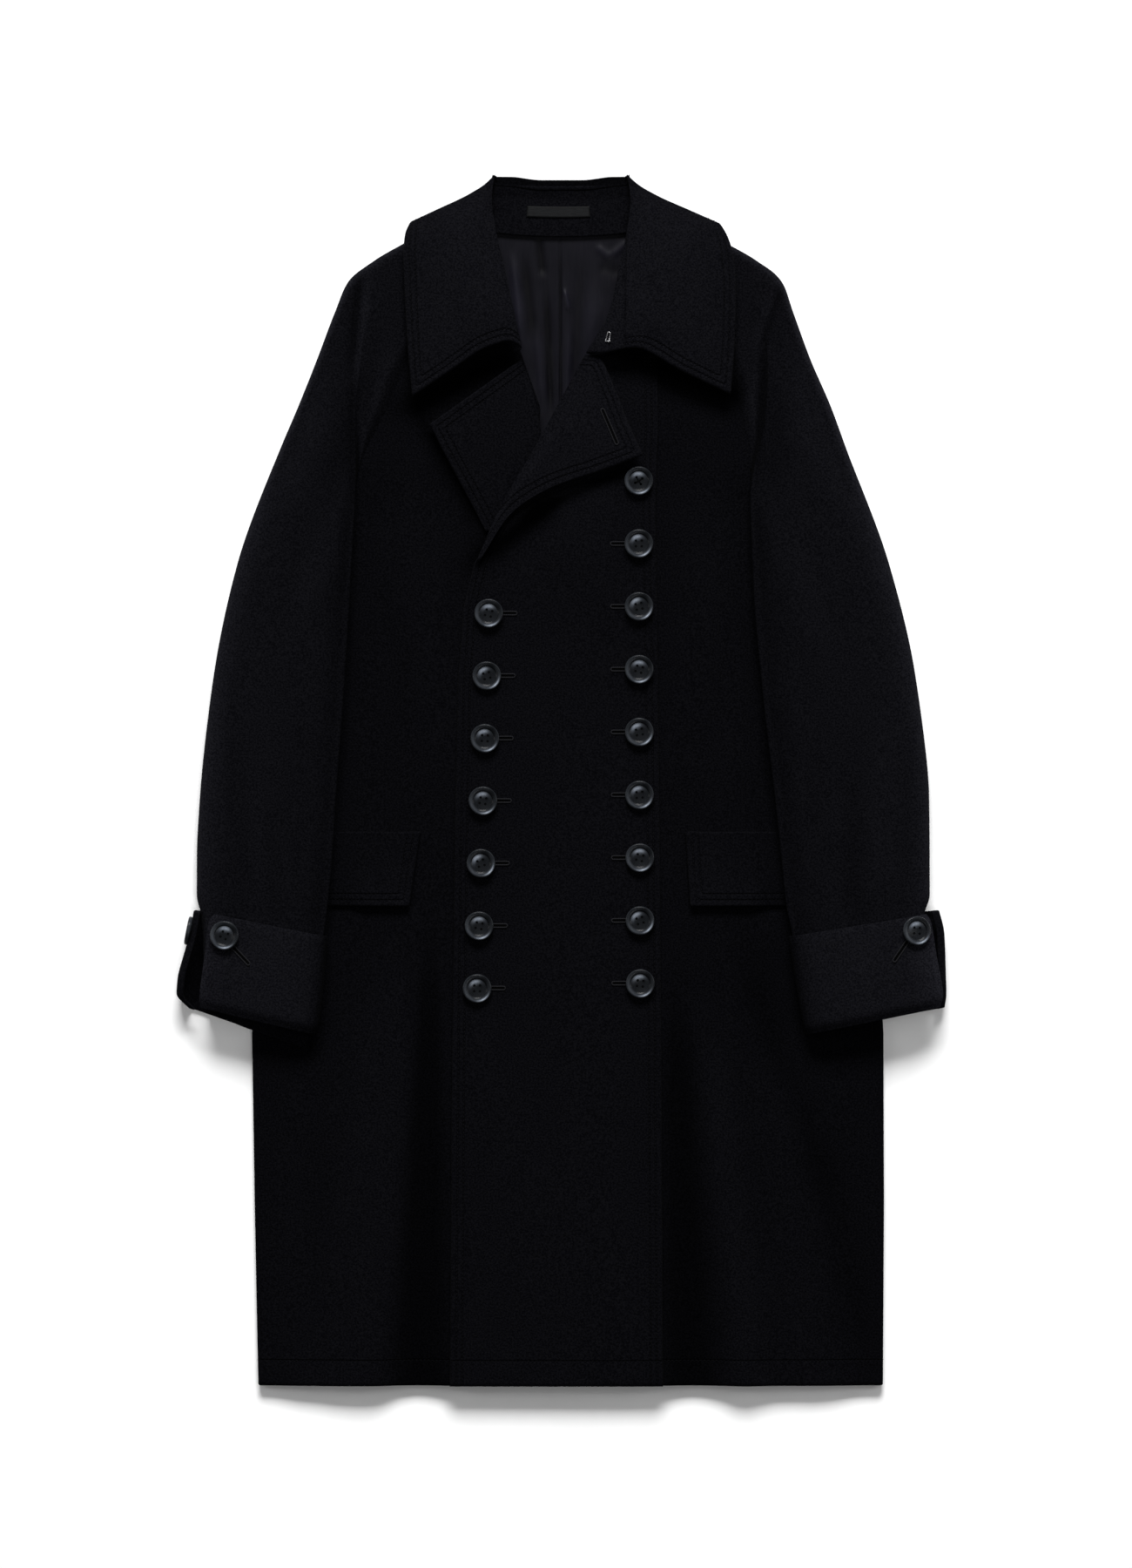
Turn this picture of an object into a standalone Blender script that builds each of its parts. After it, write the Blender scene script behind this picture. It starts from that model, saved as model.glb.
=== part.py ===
"""Raglan coat with a buttoned front panel, lying on its back.

The tables are in millimetres and the scene in metres.
+X is the viewer's right and the wearer's left, +Y runs from hem to neck, +Z is up from the floor.
"""

import math
from collections import namedtuple

import bmesh
import bpy
import numpy as np
from mathutils import Quaternion, Vector

MM = 0.001

# Cloth walls and the gaps between them
WOOL = 2.0
SATIN = 1.0
LABEL_WALL = 0.6
GAP = 0.4

# Whole coat
HEM_Y = -570.0
HEM_BACK_Y = -567.5
CHEST_TOP = 13.0
SIDE_TOP = 8.2
SIDE_BLEND = 190.0
UNDERARM_Y = 262.0
YOKE_Y = 305.0
COLLAR_LIFT = 2.6
LIFT_FROM_Y = 446.0
LIFT_TO_Y = 466.0
LIFT_HALF = 165.0
LIFT_SIDE = 30.0

# Rolled side seam of a front: its share of the width, and the degrees it turns through
ROLL_SHARE = 0.05
ROLL_FROM = -60.0
ROLL_TURN = 150.0
ROLL_END = 6.0
YOKE_ROLL_IN = 0.6
YOKE_LEAD = 20.0

# How the folds fade: at the start and past the end of their line, and towards the side seams
FOLD_FADE_IN = 0.35
FOLD_LAST = 1.35
FOLD_FADE_OUT = 0.3
FOLD_CALM_FROM = 4.0
FOLD_CALM_RUN = 40.0

# Front panel
PANEL_TOP = 15.9
PANEL_NECK_RISE = 5.1
PANEL_NECK_FROM_Y = 150.0
PANEL_NECK_RUN_Y = 90.0
PANEL_NECK_X = 62.0
PANEL_NECK_RUN_X = 50.0
PANEL_SWELL = 0.8
PANEL_SWELL_Y = 140.0
PANEL_SWELL_RUN = 120.0

# Sleeves
SLEEVE_SEAT = 13.6
SHOULDER_SEAM_TOP = 15.7
SLEEVE_TUCK = 0.035
SLEEVE_BACK_FROM = 0.075
SLEEVE_BACK_END = 0.915
SHOULDER_BACK_END = 0.70
SHOULDER_BACK_RISE = 2.8
SLEEVE_LOWEST = 0.3

# Buttons
BUTTON_D = 27.0
BUTTON_H = 4.6
RIM_W = 4.2
DISH_DEPTH = 1.2
HOLE_D = 2.4
HOLE_SQUARE = 5.4
BUTTON_TURN = 17.0
BUTTON_TURN_STEP = 2.3
BUTTON_CLEAR = 0.6
BUTTON_SIDES = 16
HOLE_SIDES = 5
LEFT_ROW = dict(count=9, x_top=72.4, x_bottom=73.9, y_top=282.4, pitch=59.1)
CuffButton = namedtuple("CuffButton", "x y z")
CUFF_RIGHT_BUTTON = CuffButton(-316.5, -145.0, 33.0)
CUFF_LEFT_BUTTON = CuffButton(331.0, -140.0, 31.0)
SPLIT_RIGHT_BUTTON = CuffButton(-352.0, -141.0, 14.6)
RIGHT_ROW = dict(count=7, x_top=-68.6, x_bottom=-79.6, y_top=157.8, pitch=58.8)

# Outline of the fronts by height: the sides, and the edges at the centre
BodyRow = namedtuple("BodyRow", "y right_side right_centre left_centre left_side")
BODY = [
    BodyRow(446.0, -140.0, -66.0, 52.0, 150.0),
    BodyRow(406.0, -158.0, -39.0, 31.0, 170.0),
    BodyRow(352.0, -184.0, -20.0, 24.0, 186.0),
    BodyRow(305.0, -200.0, -22.0, 30.0, 190.0),
    BodyRow(262.0, -240.0, -30.0, 38.0, 246.0),
    BodyRow(180.0, -263.4, -40.0, 38.0, 271.4),
    BodyRow(0.0, -281.4, -50.0, 40.0, 291.4),
    BodyRow(-239.0, -292.4, -54.0, 42.0, 303.9),
    BodyRow(-400.0, -289.9, -56.0, 44.0, 304.4),
    BodyRow(HEM_Y, -286.4, -58.0, 46.0, 303.4),
]

# Back panel: raglan seams above the underarm, then just inside the rolled side seams
BackRow = namedtuple("BackRow", "y right left")
BACK = [
    BackRow(509.0, -80.0, 80.0),
    BackRow(477.0, -130.0, 134.0),
    BackRow(446.0, -163.0, 168.0),
    BackRow(418.0, -184.0, 189.0),
    BackRow(352.0, -209.0, 211.0),
    BackRow(318.0, -219.0, 221.0),
    BackRow(262.0, -231.0, 237.0),
    BackRow(180.0, -254.0, 262.0),
    BackRow(0.0, -273.0, 283.0),
    BackRow(-239.0, -284.0, 295.5),
    BackRow(-400.0, -282.0, 296.5),
    BackRow(HEM_BACK_Y, -278.5, 295.5),
]

# Folds of the fronts: soft ridges (height above zero) and troughs (below) along a line from top to bottom
Fold = namedtuple("Fold", "x0 y0 x1 y1 wide0 wide1 height")
FOLDS = [
    Fold(-150.0, -120.0, -206.0, -600.0, 30.0, 42.0, 4.6),
    Fold(-126.0, -90.0, -136.0, -600.0, 14.0, 26.0, -2.6),
    Fold(-250.0, -260.0, -262.0, -600.0, 22.0, 26.0, 1.6),
    Fold(108.0, -170.0, 128.0, -600.0, 14.0, 30.0, -2.6),
    Fold(128.0, -190.0, 172.0, -600.0, 18.0, 30.0, 4.2),
    Fold(150.0, -60.0, 268.0, -470.0, 20.0, 26.0, -1.6),
    Fold(196.0, -200.0, 246.0, -600.0, 24.0, 34.0, 2.6),
    Fold(-150.0, 330.0, -128.0, 60.0, 26.0, 30.0, 1.4),
    Fold(128.0, 330.0, 140.0, 40.0, 24.0, 30.0, 1.6),
]

# Front panel edges; above the break the left edge is the roll line of the large lapel
PanelRow = namedtuple("PanelRow", "y left right")
PANEL = [
    PanelRow(401.0, 26.0, 90.0),
    PanelRow(336.0, -11.0, 91.0),
    PanelRow(262.0, -51.0, 88.5),
    PanelRow(205.0, -82.0, 89.0),
    PanelRow(160.0, -93.0, 90.0),
    PanelRow(90.0, -98.0, 91.0),
    PanelRow(-60.0, -101.0, 92.5),
    PanelRow(-280.0, -103.5, 94.0),
    PanelRow(HEM_Y, -105.5, 95.5),
]

# Lapels: rows from the top edge to the lower end, between the roll line and the free edge
LapelRow = namedtuple("LapelRow", "roll_x roll_y edge_x edge_y bow_x bow_y roll_z mid_z edge_z")
LAPEL_LEFT = [
    LapelRow(21.6, 400.6, 76.5, 306.0, 11.4, 0.6, 24.0, 26.0, 26.0),
    LapelRow(2.0, 364.0, 36.0, 291.0, 0.0, 0.0, 24.4, 28.0, 26.6),
    LapelRow(-28.0, 309.0, -8.0, 276.0, 0.0, 0.0, 24.0, 27.4, 26.4),
    LapelRow(-58.0, 257.0, -46.0, 252.5, 0.0, 0.0, 23.6, 24.8, 25.0),
    LapelRow(-80.0, 207.0, -76.5, 208.0, 0.0, 0.0, 23.4, 23.5, 23.4),
]
LAPEL_RIGHT = [
    LapelRow(-38.0, 397.0, -124.6, 335.4, 0.0, 0.0, 16.6, 18.6, 20.0),
    LapelRow(-26.0, 362.0, -111.0, 309.0, 0.0, 0.0, 16.6, 18.2, 19.0),
    LapelRow(-19.0, 320.0, -96.5, 282.0, 0.0, 0.0, 16.2, 17.6, 17.6),
    LapelRow(-30.0, 276.0, -82.5, 256.0, 0.0, 0.0, 16.0, 16.4, 16.4),
    LapelRow(-56.0, 236.0, -71.5, 235.0, 0.0, 0.0, 15.8, 16.0, 16.0),
]

LAPEL_TUCK = 3.0
LAPEL_TUCK_SHARE = 0.3
LAPEL_ROLL_DROP = 0.5
LAPEL_ROLL_UP = 0.4

# Collar by sections, from the front edge over the shoulder fold to the middle of the back
CollarRow = namedtuple("CollarRow", "roll_x roll_y edge_x edge_y near mid far roll_z mid_z edge_z")
COLLAR_RIGHT = [
    CollarRow(-37.0, 406.0, -140.5, 361.0, 12.0, 15.0, 7.5, 25.0, 32.0, 26.0),
    CollarRow(-45.0, 442.0, -145.0, 409.0, 6.4, 8.0, 4.0, 28.0, 35.0, 26.0),
    CollarRow(-54.0, 483.0, -147.6, 458.0, 2.4, 3.0, 1.5, 28.0, 34.5, 25.5),
    CollarRow(-61.0, 514.0, -149.0, 492.0, 0.8, 1.0, 0.5, 26.0, 32.0, 25.0),
    CollarRow(-65.5, 545.0, -147.6, 513.5, -1.6, -2.0, -1.0, 21.0, 26.0, 21.5),
    CollarRow(-63.0, 571.5, -142.0, 527.0, -4.0, -5.0, -2.5, 12.0, 12.5, 12.0),
]
COLLAR_LEFT = [
    CollarRow(22.5, 402.0, 159.0, 363.0, 4.3, 17.5, 7.7, 25.0, 32.0, 26.0),
    CollarRow(45.0, 442.0, 162.5, 409.0, 6.4, 8.0, 4.0, 28.0, 35.0, 26.0),
    CollarRow(54.0, 483.0, 164.0, 458.0, 2.4, 3.0, 1.5, 28.0, 34.5, 25.5),
    CollarRow(61.0, 515.0, 161.8, 491.0, 0.8, 1.0, 0.5, 26.0, 32.0, 25.0),
    CollarRow(64.5, 545.0, 156.0, 513.0, -1.6, -2.0, -1.0, 21.0, 26.0, 21.5),
    CollarRow(61.5, 571.5, 148.5, 525.5, -4.0, -5.0, -2.5, 12.0, 12.5, 12.0),
]
COLLAR_BACK_ROLL = (570.0, 565.0)
COLLAR_BACK_EDGE = (500.0, 478.0)
COLLAR_BACK_HALF = (46.0, 92.0)
COLLAR_FOLD_IN = 8.0
COLLAR_TURN_IN = 3.0
COLLAR_FOLD_TOP = 10.6
COLLAR_FOLD_LOW = 9.0
COLLAR_OPEN_FROM = 11.0
COLLAR_OPEN_RUN = 9.0
COLLAR_INNER_DROP = 4.0
COLLAR_BACK_CREST = 5.5
COLLAR_BACK_LOW = 0.3
COLLAR_BACK_MIDDLE = 0.6

# Stand and lining inside the neck
STAND_TOP_Y = 558.0
STAND_FOOT_Y = 513.0
STAND_DIP = 2.0
STAND_FOOT_DIP = 5.0
STAND_HALF_TOP = 64.0
STAND_HALF_FOOT = 74.0
STAND_TOP_Z = 7.5
STAND_FOOT_Z = 8.9
LINING_TOP_Y = 520.0
LINING_FOOT_Y = 288.0
LINING_HALF_TOP = 70.0
LINING_HALF_FOOT = 40.0
LINING_LIFT_FROM_Y = 370.0
LINING_LIFT_TO_Y = 440.0
LINING_FOLD_START = 3.0
LiningFold = namedtuple("LiningFold", "x wide height")
LINING_FOLDS = [
    LiningFold(2.0, 7.0, 1.5),
    LiningFold(-34.0, 12.0, 1.1),
    LiningFold(36.0, 14.0, 0.9),
]
LABEL_X = -3.3
LABEL_HALF = 32.0
LABEL_FROM = 0.37
LABEL_TO = 0.60

# Sleeves by sections from neck to wrist; crease is where the inner roll lies across the section
SleeveRow = namedtuple(
    "SleeveRow", "y_outer y_inner right_outer right_inner left_outer left_inner crown crease floor")
SLEEVE = [
    SleeveRow(548.0, 470.0, -82.6, -72.0, 82.6, 72.0, 16.0, 0.50, 2.8),
    SleeveRow(514.0, 452.0, -136.6, -114.0, 142.6, 123.0, 16.4, 0.50, 2.8),
    SleeveRow(491.5, 417.0, -176.1, -145.0, 183.1, 160.0, 17.5, 0.45, 0.4),
    SleeveRow(471.5, 384.0, -201.0, -163.0, 207.5, 172.0, 20.5, 0.46, 0.3),
    SleeveRow(440.5, 352.0, -214.5, -175.0, 219.0, 178.0, 24.5, 0.62, 0.3),
    SleeveRow(398.0, 322.0, -230.5, -185.0, 234.5, 180.0, 27.0, 0.80, 0.3),
    SleeveRow(354.0, 294.0, -248.0, -191.5, 253.5, 178.5, 29.0, 0.96, 0.3),
    SleeveRow(309.0, 262.0, -267.0, -194.5, 270.0, 177.5, 30.0, 1.00, 0.3),
    SleeveRow(204.0, 176.0, -306.0, -199.0, 309.0, 180.5, 31.0, 1.00, 0.3),
    SleeveRow(100.0, 86.0, -328.0, -204.5, 333.5, 188.5, 31.0, 1.00, 0.3),
    SleeveRow(-13.0, -21.0, -341.0, -212.5, 346.5, 201.0, 30.5, 1.00, 0.3),
    SleeveRow(-70.0, -77.0, -344.0, -216.0, 347.0, 207.0, 29.5, 1.00, 0.6),
    SleeveRow(-106.0, -116.0, -344.0, -220.0, 347.0, 211.0, 28.0, 1.00, 2.8),
    SleeveRow(-128.0, -140.0, -339.6, -223.0, 341.6, 216.0, 27.0, 1.00, 3.8),
    SleeveRow(-165.0, -182.0, -337.6, -228.0, 340.6, 222.0, 26.5, 1.00, 4.0),
    SleeveRow(-210.0, -236.0, -336.6, -233.0, 342.6, 232.5, 26.8, 1.00, 4.2),
]
ARMPIT_ROW = 6

# Cuffs from the top edge to the turned lower edge: outer and inner ends of each section
CuffRow = namedtuple(
    "CuffRow", "y_outer y_inner right_outer right_inner left_outer left_inner right_top left_top")
CUFF_FRONT = [
    CuffRow(-124.5, -146.0, -326.0, -220.0, 343.0, 213.5, 32.5, 32.5),
    CuffRow(-131.0, -152.0, -331.0, -220.8, 347.0, 214.5, 33.5, 33.5),
    CuffRow(-165.0, -190.0, -335.5, -224.0, 353.0, 220.0, 34.5, 34.5),
    CuffRow(-200.0, -228.0, -340.0, -228.0, 359.0, 227.0, 34.0, 34.0),
    CuffRow(-213.0, -239.0, -340.5, -230.5, 356.5, 229.5, 29.4, 29.4),
]
CUFF_BACK = [
    CuffRow(-121.5, -140.0, -346.5, -228.0, 356.0, 220.0, 25.0, 16.0),
    CuffRow(-144.0, -164.0, -350.5, -230.0, 361.0, 224.0, 26.0, 17.0),
    CuffRow(-185.0, -206.0, -361.8, -234.0, 362.5, 230.0, 25.0, 17.0),
    CuffRow(-200.0, -224.0, -363.0, -237.0, 363.0, 233.0, 22.0, 15.0),
    CuffRow(-214.0, -236.0, -352.0, -241.0, 361.5, 238.0, 15.0, 11.0),
]

# How far the inner end of each cuff's under half hangs lower
CUFF_SLANT = {-1: 16.0, 1: 0.0}
SPLIT_EDGE = {-1: 0.90, 1: 0.70}
BODY_UNDER_CUFF = {-1: 0.56, 1: 0.46}

# Pocket flaps
FLAP_TOP_Y = -47.5
FLAP_FOOT_Y = -118.0
FLAP_LIFT = 3.0
FLAP_LIFT_FROM = 26.0
FlapEdge = namedtuple("FlapEdge", "under_top free_top under_foot free_foot lift_from")
FLAP_RIGHT = FlapEdge(-268.0, -133.0, -268.0, -143.5, -206.0)
FLAP_LEFT = FlapEdge(276.0, 116.5, 276.0, 121.0, 200.0)

# Wire hook at the end of the left collar
HOOK_X = 44.0
HOOK_Y = 416.0
HOOK_Z = 31.0
HOOK_LONG = 9.0
HOOK_WIDE = 5.6
HOOK_WIRE = 0.5
HOOK_TURN = 82.0
HOOK_POINTS = 12


def soft(t):
    """Runs from 0 to 1 with level ends."""
    t = np.clip(t, 0.0, 1.0)
    return t * t * (3.0 - 2.0 * t)


def level_slope(before, after):
    """Slope at a row that never carries the curve past it."""
    same = before * after > 0.0
    total = np.where(same, before + after, 1.0)
    return np.where(same, 2.0 * before * after / total, 0.0)


def through(rows, at):
    """Smooth curve through the rows of a table, at places from 0 (first row) to 1 (last)."""
    rows = np.asarray(rows, float)
    last = len(rows) - 1
    place = np.clip(np.asarray(at, float), 0.0, 1.0) * last
    index = np.minimum(place.astype(int), last - 1)
    part = (place - index).reshape(place.shape + (1,) * (rows.ndim - 1))
    padded = np.concatenate([2 * rows[:1] - rows[1:2], rows, 2 * rows[-1:] - rows[-2:-1]])
    step = np.diff(padded, axis=0)
    start = rows[index]
    end = rows[index + 1]
    leave = level_slope(step[index], step[index + 1])
    arrive = level_slope(step[index + 1], step[index + 2])
    square = part * part
    cube = square * part
    return (start * (2 * cube - 3 * square + 1) + leave * (cube - 2 * square + part)
            + end * (3 * square - 2 * cube) + arrive * (cube - square))


def by_height(table, y):
    """Columns of a table at heights y, straight between rows."""
    rows = np.asarray(table, float)[::-1]
    y = np.asarray(y, float)
    return [np.interp(y, rows[:, 0], rows[:, column]) for column in range(1, rows.shape[1])]


def loft(sections, across, along):
    """Grid of points through sections, each a row of control points."""
    rows = through(sections, along)
    return np.stack([through(row, across) for row in rows])


def fold_height(x, y):
    """Sum of the soft folds at a place on the fronts."""
    total = np.zeros(np.broadcast(x, y).shape)
    for fold in FOLDS:
        run = (y - fold.y0) / (fold.y1 - fold.y0)
        middle = fold.x0 + (fold.x1 - fold.x0) * run
        wide = fold.wide0 + (fold.wide1 - fold.wide0) * np.clip(run, 0.0, 1.0)
        fade = soft(run / FOLD_FADE_IN) * soft((FOLD_LAST - run) / FOLD_FADE_OUT)
        total += fold.height * fade * np.exp(-((x - middle) / wide) ** 2)
    return total


def front_top(x, y):
    """Upper side of the fronts, before the roll at the sides."""
    right, _, _, left = by_height(BODY, y)
    inside = np.minimum(x - right, left - x)
    side = SIDE_TOP + (CHEST_TOP - SIDE_TOP) * soft((inside - ROLL_END) / SIDE_BLEND)
    yoke = soft((y - UNDERARM_Y + YOKE_LEAD) / (YOKE_Y - UNDERARM_Y + YOKE_LEAD))
    calm = soft((inside - FOLD_CALM_FROM) / FOLD_CALM_RUN)
    return side + (CHEST_TOP - side) * yoke + fold_height(x, y) * calm


def front_grid(side, across, along):
    """A front from its side seam to the edge under the panel."""
    y = BODY[0].y + (BODY[-1].y - BODY[0].y) * np.asarray(along)
    right, right_centre, left_centre, left = by_height(BODY, y)
    edge = right if side < 0 else left
    centre = right_centre if side < 0 else left_centre
    yoke = soft((y - UNDERARM_Y) / (YOKE_Y - UNDERARM_Y))
    radius = SIDE_TOP / 2.0
    columns = []
    for u in across:
        roll = min(u / ROLL_SHARE, 1.0)
        turn = math.radians(ROLL_FROM + ROLL_TURN * roll)
        inward = radius * (1.0 - math.cos(turn)) if roll < 1.0 else radius
        run = max((u - ROLL_SHARE) / (1.0 - ROLL_SHARE), 0.0)
        flat_in = (radius + YOKE_ROLL_IN) * roll
        offset = inward + (flat_in - inward) * yoke
        start = edge - side * offset
        x = start + (centre - start) * run
        rolled = radius * (1.0 + math.sin(turn))
        level = front_top(x, y)
        z = level if roll >= 1.0 else rolled + (level - rolled) * yoke
        columns.append(np.stack([x, y, z], axis=-1))
    return np.stack(columns, axis=1)


def lift(x, y):
    """Rise of the back pieces over the back of the collar."""
    upward = soft((y - LIFT_FROM_Y) / (LIFT_TO_Y - LIFT_FROM_Y))
    return COLLAR_LIFT * upward * soft((LIFT_HALF - np.abs(x)) / LIFT_SIDE)


def back_grid(across, along):
    y = BACK[0].y + (BACK[-1].y - BACK[0].y) * np.asarray(along)
    right, left = by_height(BACK, y)
    x = right[:, None] + (left - right)[:, None] * np.asarray(across)[None, :]
    y = np.repeat(y[:, None], len(across), axis=1)
    return np.stack([x, y, lift(x, y) + WOOL], axis=-1)


def panel_top(x, y):
    """Upper side of the front panel: level, higher over the lapels, with a slow swell."""
    left, right = by_height(PANEL, y)
    neck = soft((y - PANEL_NECK_FROM_Y) / PANEL_NECK_RUN_Y) * soft((PANEL_NECK_X - x) / PANEL_NECK_RUN_X)
    middle = (x - left) / (right - left)
    arch = np.sin(math.pi * np.clip(middle, 0.0, 1.0))
    swell = PANEL_SWELL * arch * soft((PANEL_SWELL_Y - y) / PANEL_SWELL_RUN)
    return PANEL_TOP + PANEL_NECK_RISE * neck + swell


def panel_grid(across, along):
    y = PANEL[0].y + (PANEL[-1].y - PANEL[0].y) * np.asarray(along)
    left, right = by_height(PANEL, y)
    x = left[:, None] + (right - left)[:, None] * np.asarray(across)[None, :]
    y = np.repeat(y[:, None], len(across), axis=1)
    return np.stack([x, y, panel_top(x, y)], axis=-1)


def lapel_grid(table, across, along):
    """A lapel from its rolled edge to its free edge."""
    sections = []
    for row in table:
        roll = np.array([row.roll_x, row.roll_y])
        edge = np.array([row.edge_x, row.edge_y])
        width = np.linalg.norm(edge - roll)
        outward = (edge - roll) / width
        tuck = min(LAPEL_TUCK, LAPEL_TUCK_SHARE * width)
        bow = np.array([row.bow_x, row.bow_y])
        flat = [
            (roll, row.roll_z - LAPEL_ROLL_DROP),
            (roll + outward * tuck + bow, row.roll_z + LAPEL_ROLL_UP),
            (roll + (edge - roll) * 0.35 + bow * 0.8, row.mid_z),
            (roll + (edge - roll) * 0.7 + bow * 0.3, 0.5 * (row.mid_z + row.edge_z)),
            (edge, row.edge_z),
        ]
        sections.append([(*place, z) for place, z in flat])
    return loft(sections, across, along)


def collar_sections():
    """Sections of the collar from the right tip round the back to the left tip."""
    def wing(table):
        made = []
        for row in table:
            roll = np.array([row.roll_x, row.roll_y])
            edge = np.array([row.edge_x, row.edge_y])
            away = (edge - roll) / np.linalg.norm(edge - roll)
            over = soft((row.roll_z - COLLAR_OPEN_FROM) / COLLAR_OPEN_RUN)
            under = roll + away * COLLAR_FOLD_IN * over + np.array([0.0, -COLLAR_FOLD_LOW]) * (1.0 - over)
            inner_z = COLLAR_FOLD_TOP + (row.roll_z - COLLAR_INNER_DROP - COLLAR_FOLD_TOP) * over
            rise = row.mid_z - row.roll_z
            fall = row.edge_z - row.mid_z
            near, mid, far = (np.array([0.0, bow]) for bow in (row.near, row.mid, row.far))
            made.append([
                (*under, inner_z),
                (*roll, row.roll_z),
                (*(roll + (edge - roll) * 0.12 + near), row.roll_z + 0.75 * rise),
                (*(roll + (edge - roll) * 0.34 + mid), row.mid_z),
                (*(roll + (edge - roll) * 0.68 + far), row.mid_z + 0.45 * fall),
                (*edge, row.edge_z),
            ])
        return made

    def behind(share, side):
        roll_y = COLLAR_BACK_ROLL[0] + (COLLAR_BACK_ROLL[1] - COLLAR_BACK_ROLL[0]) * share
        edge_y = COLLAR_BACK_EDGE[0] + (COLLAR_BACK_EDGE[1] - COLLAR_BACK_EDGE[0]) * share
        roll_x = side * COLLAR_BACK_HALF[0] * (1.0 - share)
        edge_x = side * COLLAR_BACK_HALF[1] * (1.0 - share)
        return [
            (roll_x, roll_y - 10.0, COLLAR_FOLD_TOP),
            (roll_x, roll_y, COLLAR_BACK_CREST),
            (roll_x * 1.1, roll_y - 7.0, 3.0 * COLLAR_BACK_LOW),
            (roll_x + (edge_x - roll_x) * 0.4, roll_y + (edge_y - roll_y) * 0.4, COLLAR_BACK_LOW),
            (roll_x + (edge_x - roll_x) * 0.7, roll_y + (edge_y - roll_y) * 0.7, COLLAR_BACK_LOW),
            (edge_x, edge_y, COLLAR_BACK_LOW),
        ]

    def turned(fold):
        """The section just behind a shoulder fold, down on the floor."""
        inward = np.array([-math.copysign(COLLAR_TURN_IN, fold[-1][0]), -2.0 * COLLAR_TURN_IN])
        low = [COLLAR_FOLD_TOP, COLLAR_BACK_CREST, 1.6, 0.9, 0.6, 0.6]
        return [(*(np.array(point[:2]) + inward * share), z)
                for point, z, share in zip(fold, low, (0.2, 0.2, 0.7, 1.0, 1.0, 1.0))]

    right = wing(COLLAR_RIGHT)
    left = wing(COLLAR_LEFT)
    middle = COLLAR_BACK_MIDDLE
    right_back = [turned(right[-1]), behind(0.0, -1), behind(middle, -1)]
    left_back = [behind(middle, 1), behind(0.0, 1), turned(left[-1])]
    return right + right_back + left_back + left[::-1]


def stand_grid(across, along):
    """The band inside the neck, from the collar fold down to the neck seam."""
    across = np.asarray(across)[None, :] * 2.0 - 1.0
    along = np.asarray(along)[:, None]
    half = STAND_HALF_TOP + (STAND_HALF_FOOT - STAND_HALF_TOP) * along
    x = half * across
    top = STAND_TOP_Y + STAND_DIP * across ** 2
    foot = STAND_FOOT_Y + STAND_FOOT_DIP * across ** 2
    y = top + (foot - top) * along
    z = STAND_TOP_Z + (STAND_FOOT_Z - STAND_TOP_Z) * along + 0.0 * x
    return np.stack([x, y, z], axis=-1)


def label_grid(across, along):
    """A strip of the stand, moved out."""
    share = (LABEL_X + LABEL_HALF * (np.asarray(across) * 2.0 - 1.0)) / (2.0 * STAND_HALF_FOOT) + 0.5
    grid = stand_grid(share, LABEL_FROM + (LABEL_TO - LABEL_FROM) * np.asarray(along))
    return grid + np.array([0.0, 0.0, GAP + LABEL_WALL])


def lining_grid(across, along):
    across = np.asarray(across)[None, :] * 2.0 - 1.0
    along = np.asarray(along)[:, None]
    half = LINING_HALF_TOP + (LINING_HALF_FOOT - LINING_HALF_TOP) * soft(along)
    x = half * across
    y = LINING_TOP_Y + (LINING_FOOT_Y - LINING_TOP_Y) * along + 0.0 * x
    upward = soft((y - LINING_LIFT_FROM_Y) / (LINING_LIFT_TO_Y - LINING_LIFT_FROM_Y))
    rest = COLLAR_LIFT * upward + WOOL + 2.0 * GAP + SATIN
    ripple = sum(fold.height * np.exp(-((x - fold.x) / fold.wide) ** 2) for fold in LINING_FOLDS)
    return np.stack([x, y, rest + ripple * soft(along * LINING_FOLD_START)], axis=-1)


def sleeve_ends(row, side):
    outer = np.array([row[2] if side < 0 else row[4], row[0]])
    inner = np.array([row[3] if side < 0 else row[5], row[1]])
    return outer, inner


def sleeve_sections(side):
    """Upper half of a sleeve: rolled at the outer fold, and rolled under or seamed at the inner one."""
    sections = []
    for index, row in enumerate(SLEEVE):
        outer, inner = sleeve_ends(row, side)
        span = inner - outer
        free = 1.0 if index > ARMPIT_ROW else 0.0
        drop = row.crown - SHOULDER_SEAM_TOP
        fall = row.crease
        low = SLEEVE_SEAT + 0.4 if free else SHOULDER_SEAM_TOP
        half = 0.5 * (row.crown + row.floor)
        tail = 1.0 - SLEEVE_TUCK if free else 1.0
        foot = SLEEVE_SEAT - 0.1 if free else SHOULDER_SEAM_TOP
        side_z = 0.5 * (low + row.crown) if free else SHOULDER_SEAM_TOP + 0.12 * drop
        profile = [
            (SLEEVE_TUCK, row.floor),
            (0.0, row.floor + 0.30 * (row.crown - row.floor)),
            (0.035, half + 0.22 * (row.crown - row.floor)),
            (0.16, row.crown - 0.06 * (row.crown - row.floor)),
            (0.42 * fall + 0.08, row.crown),
            (0.82 * fall, row.crown - 0.10 * drop),
            (0.955 * fall, row.crown - 0.42 * drop),
            (fall, side_z),
            (tail, foot),
        ]
        sections.append([(*(outer + span * share), z) for share, z in profile])
    return sections


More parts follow.
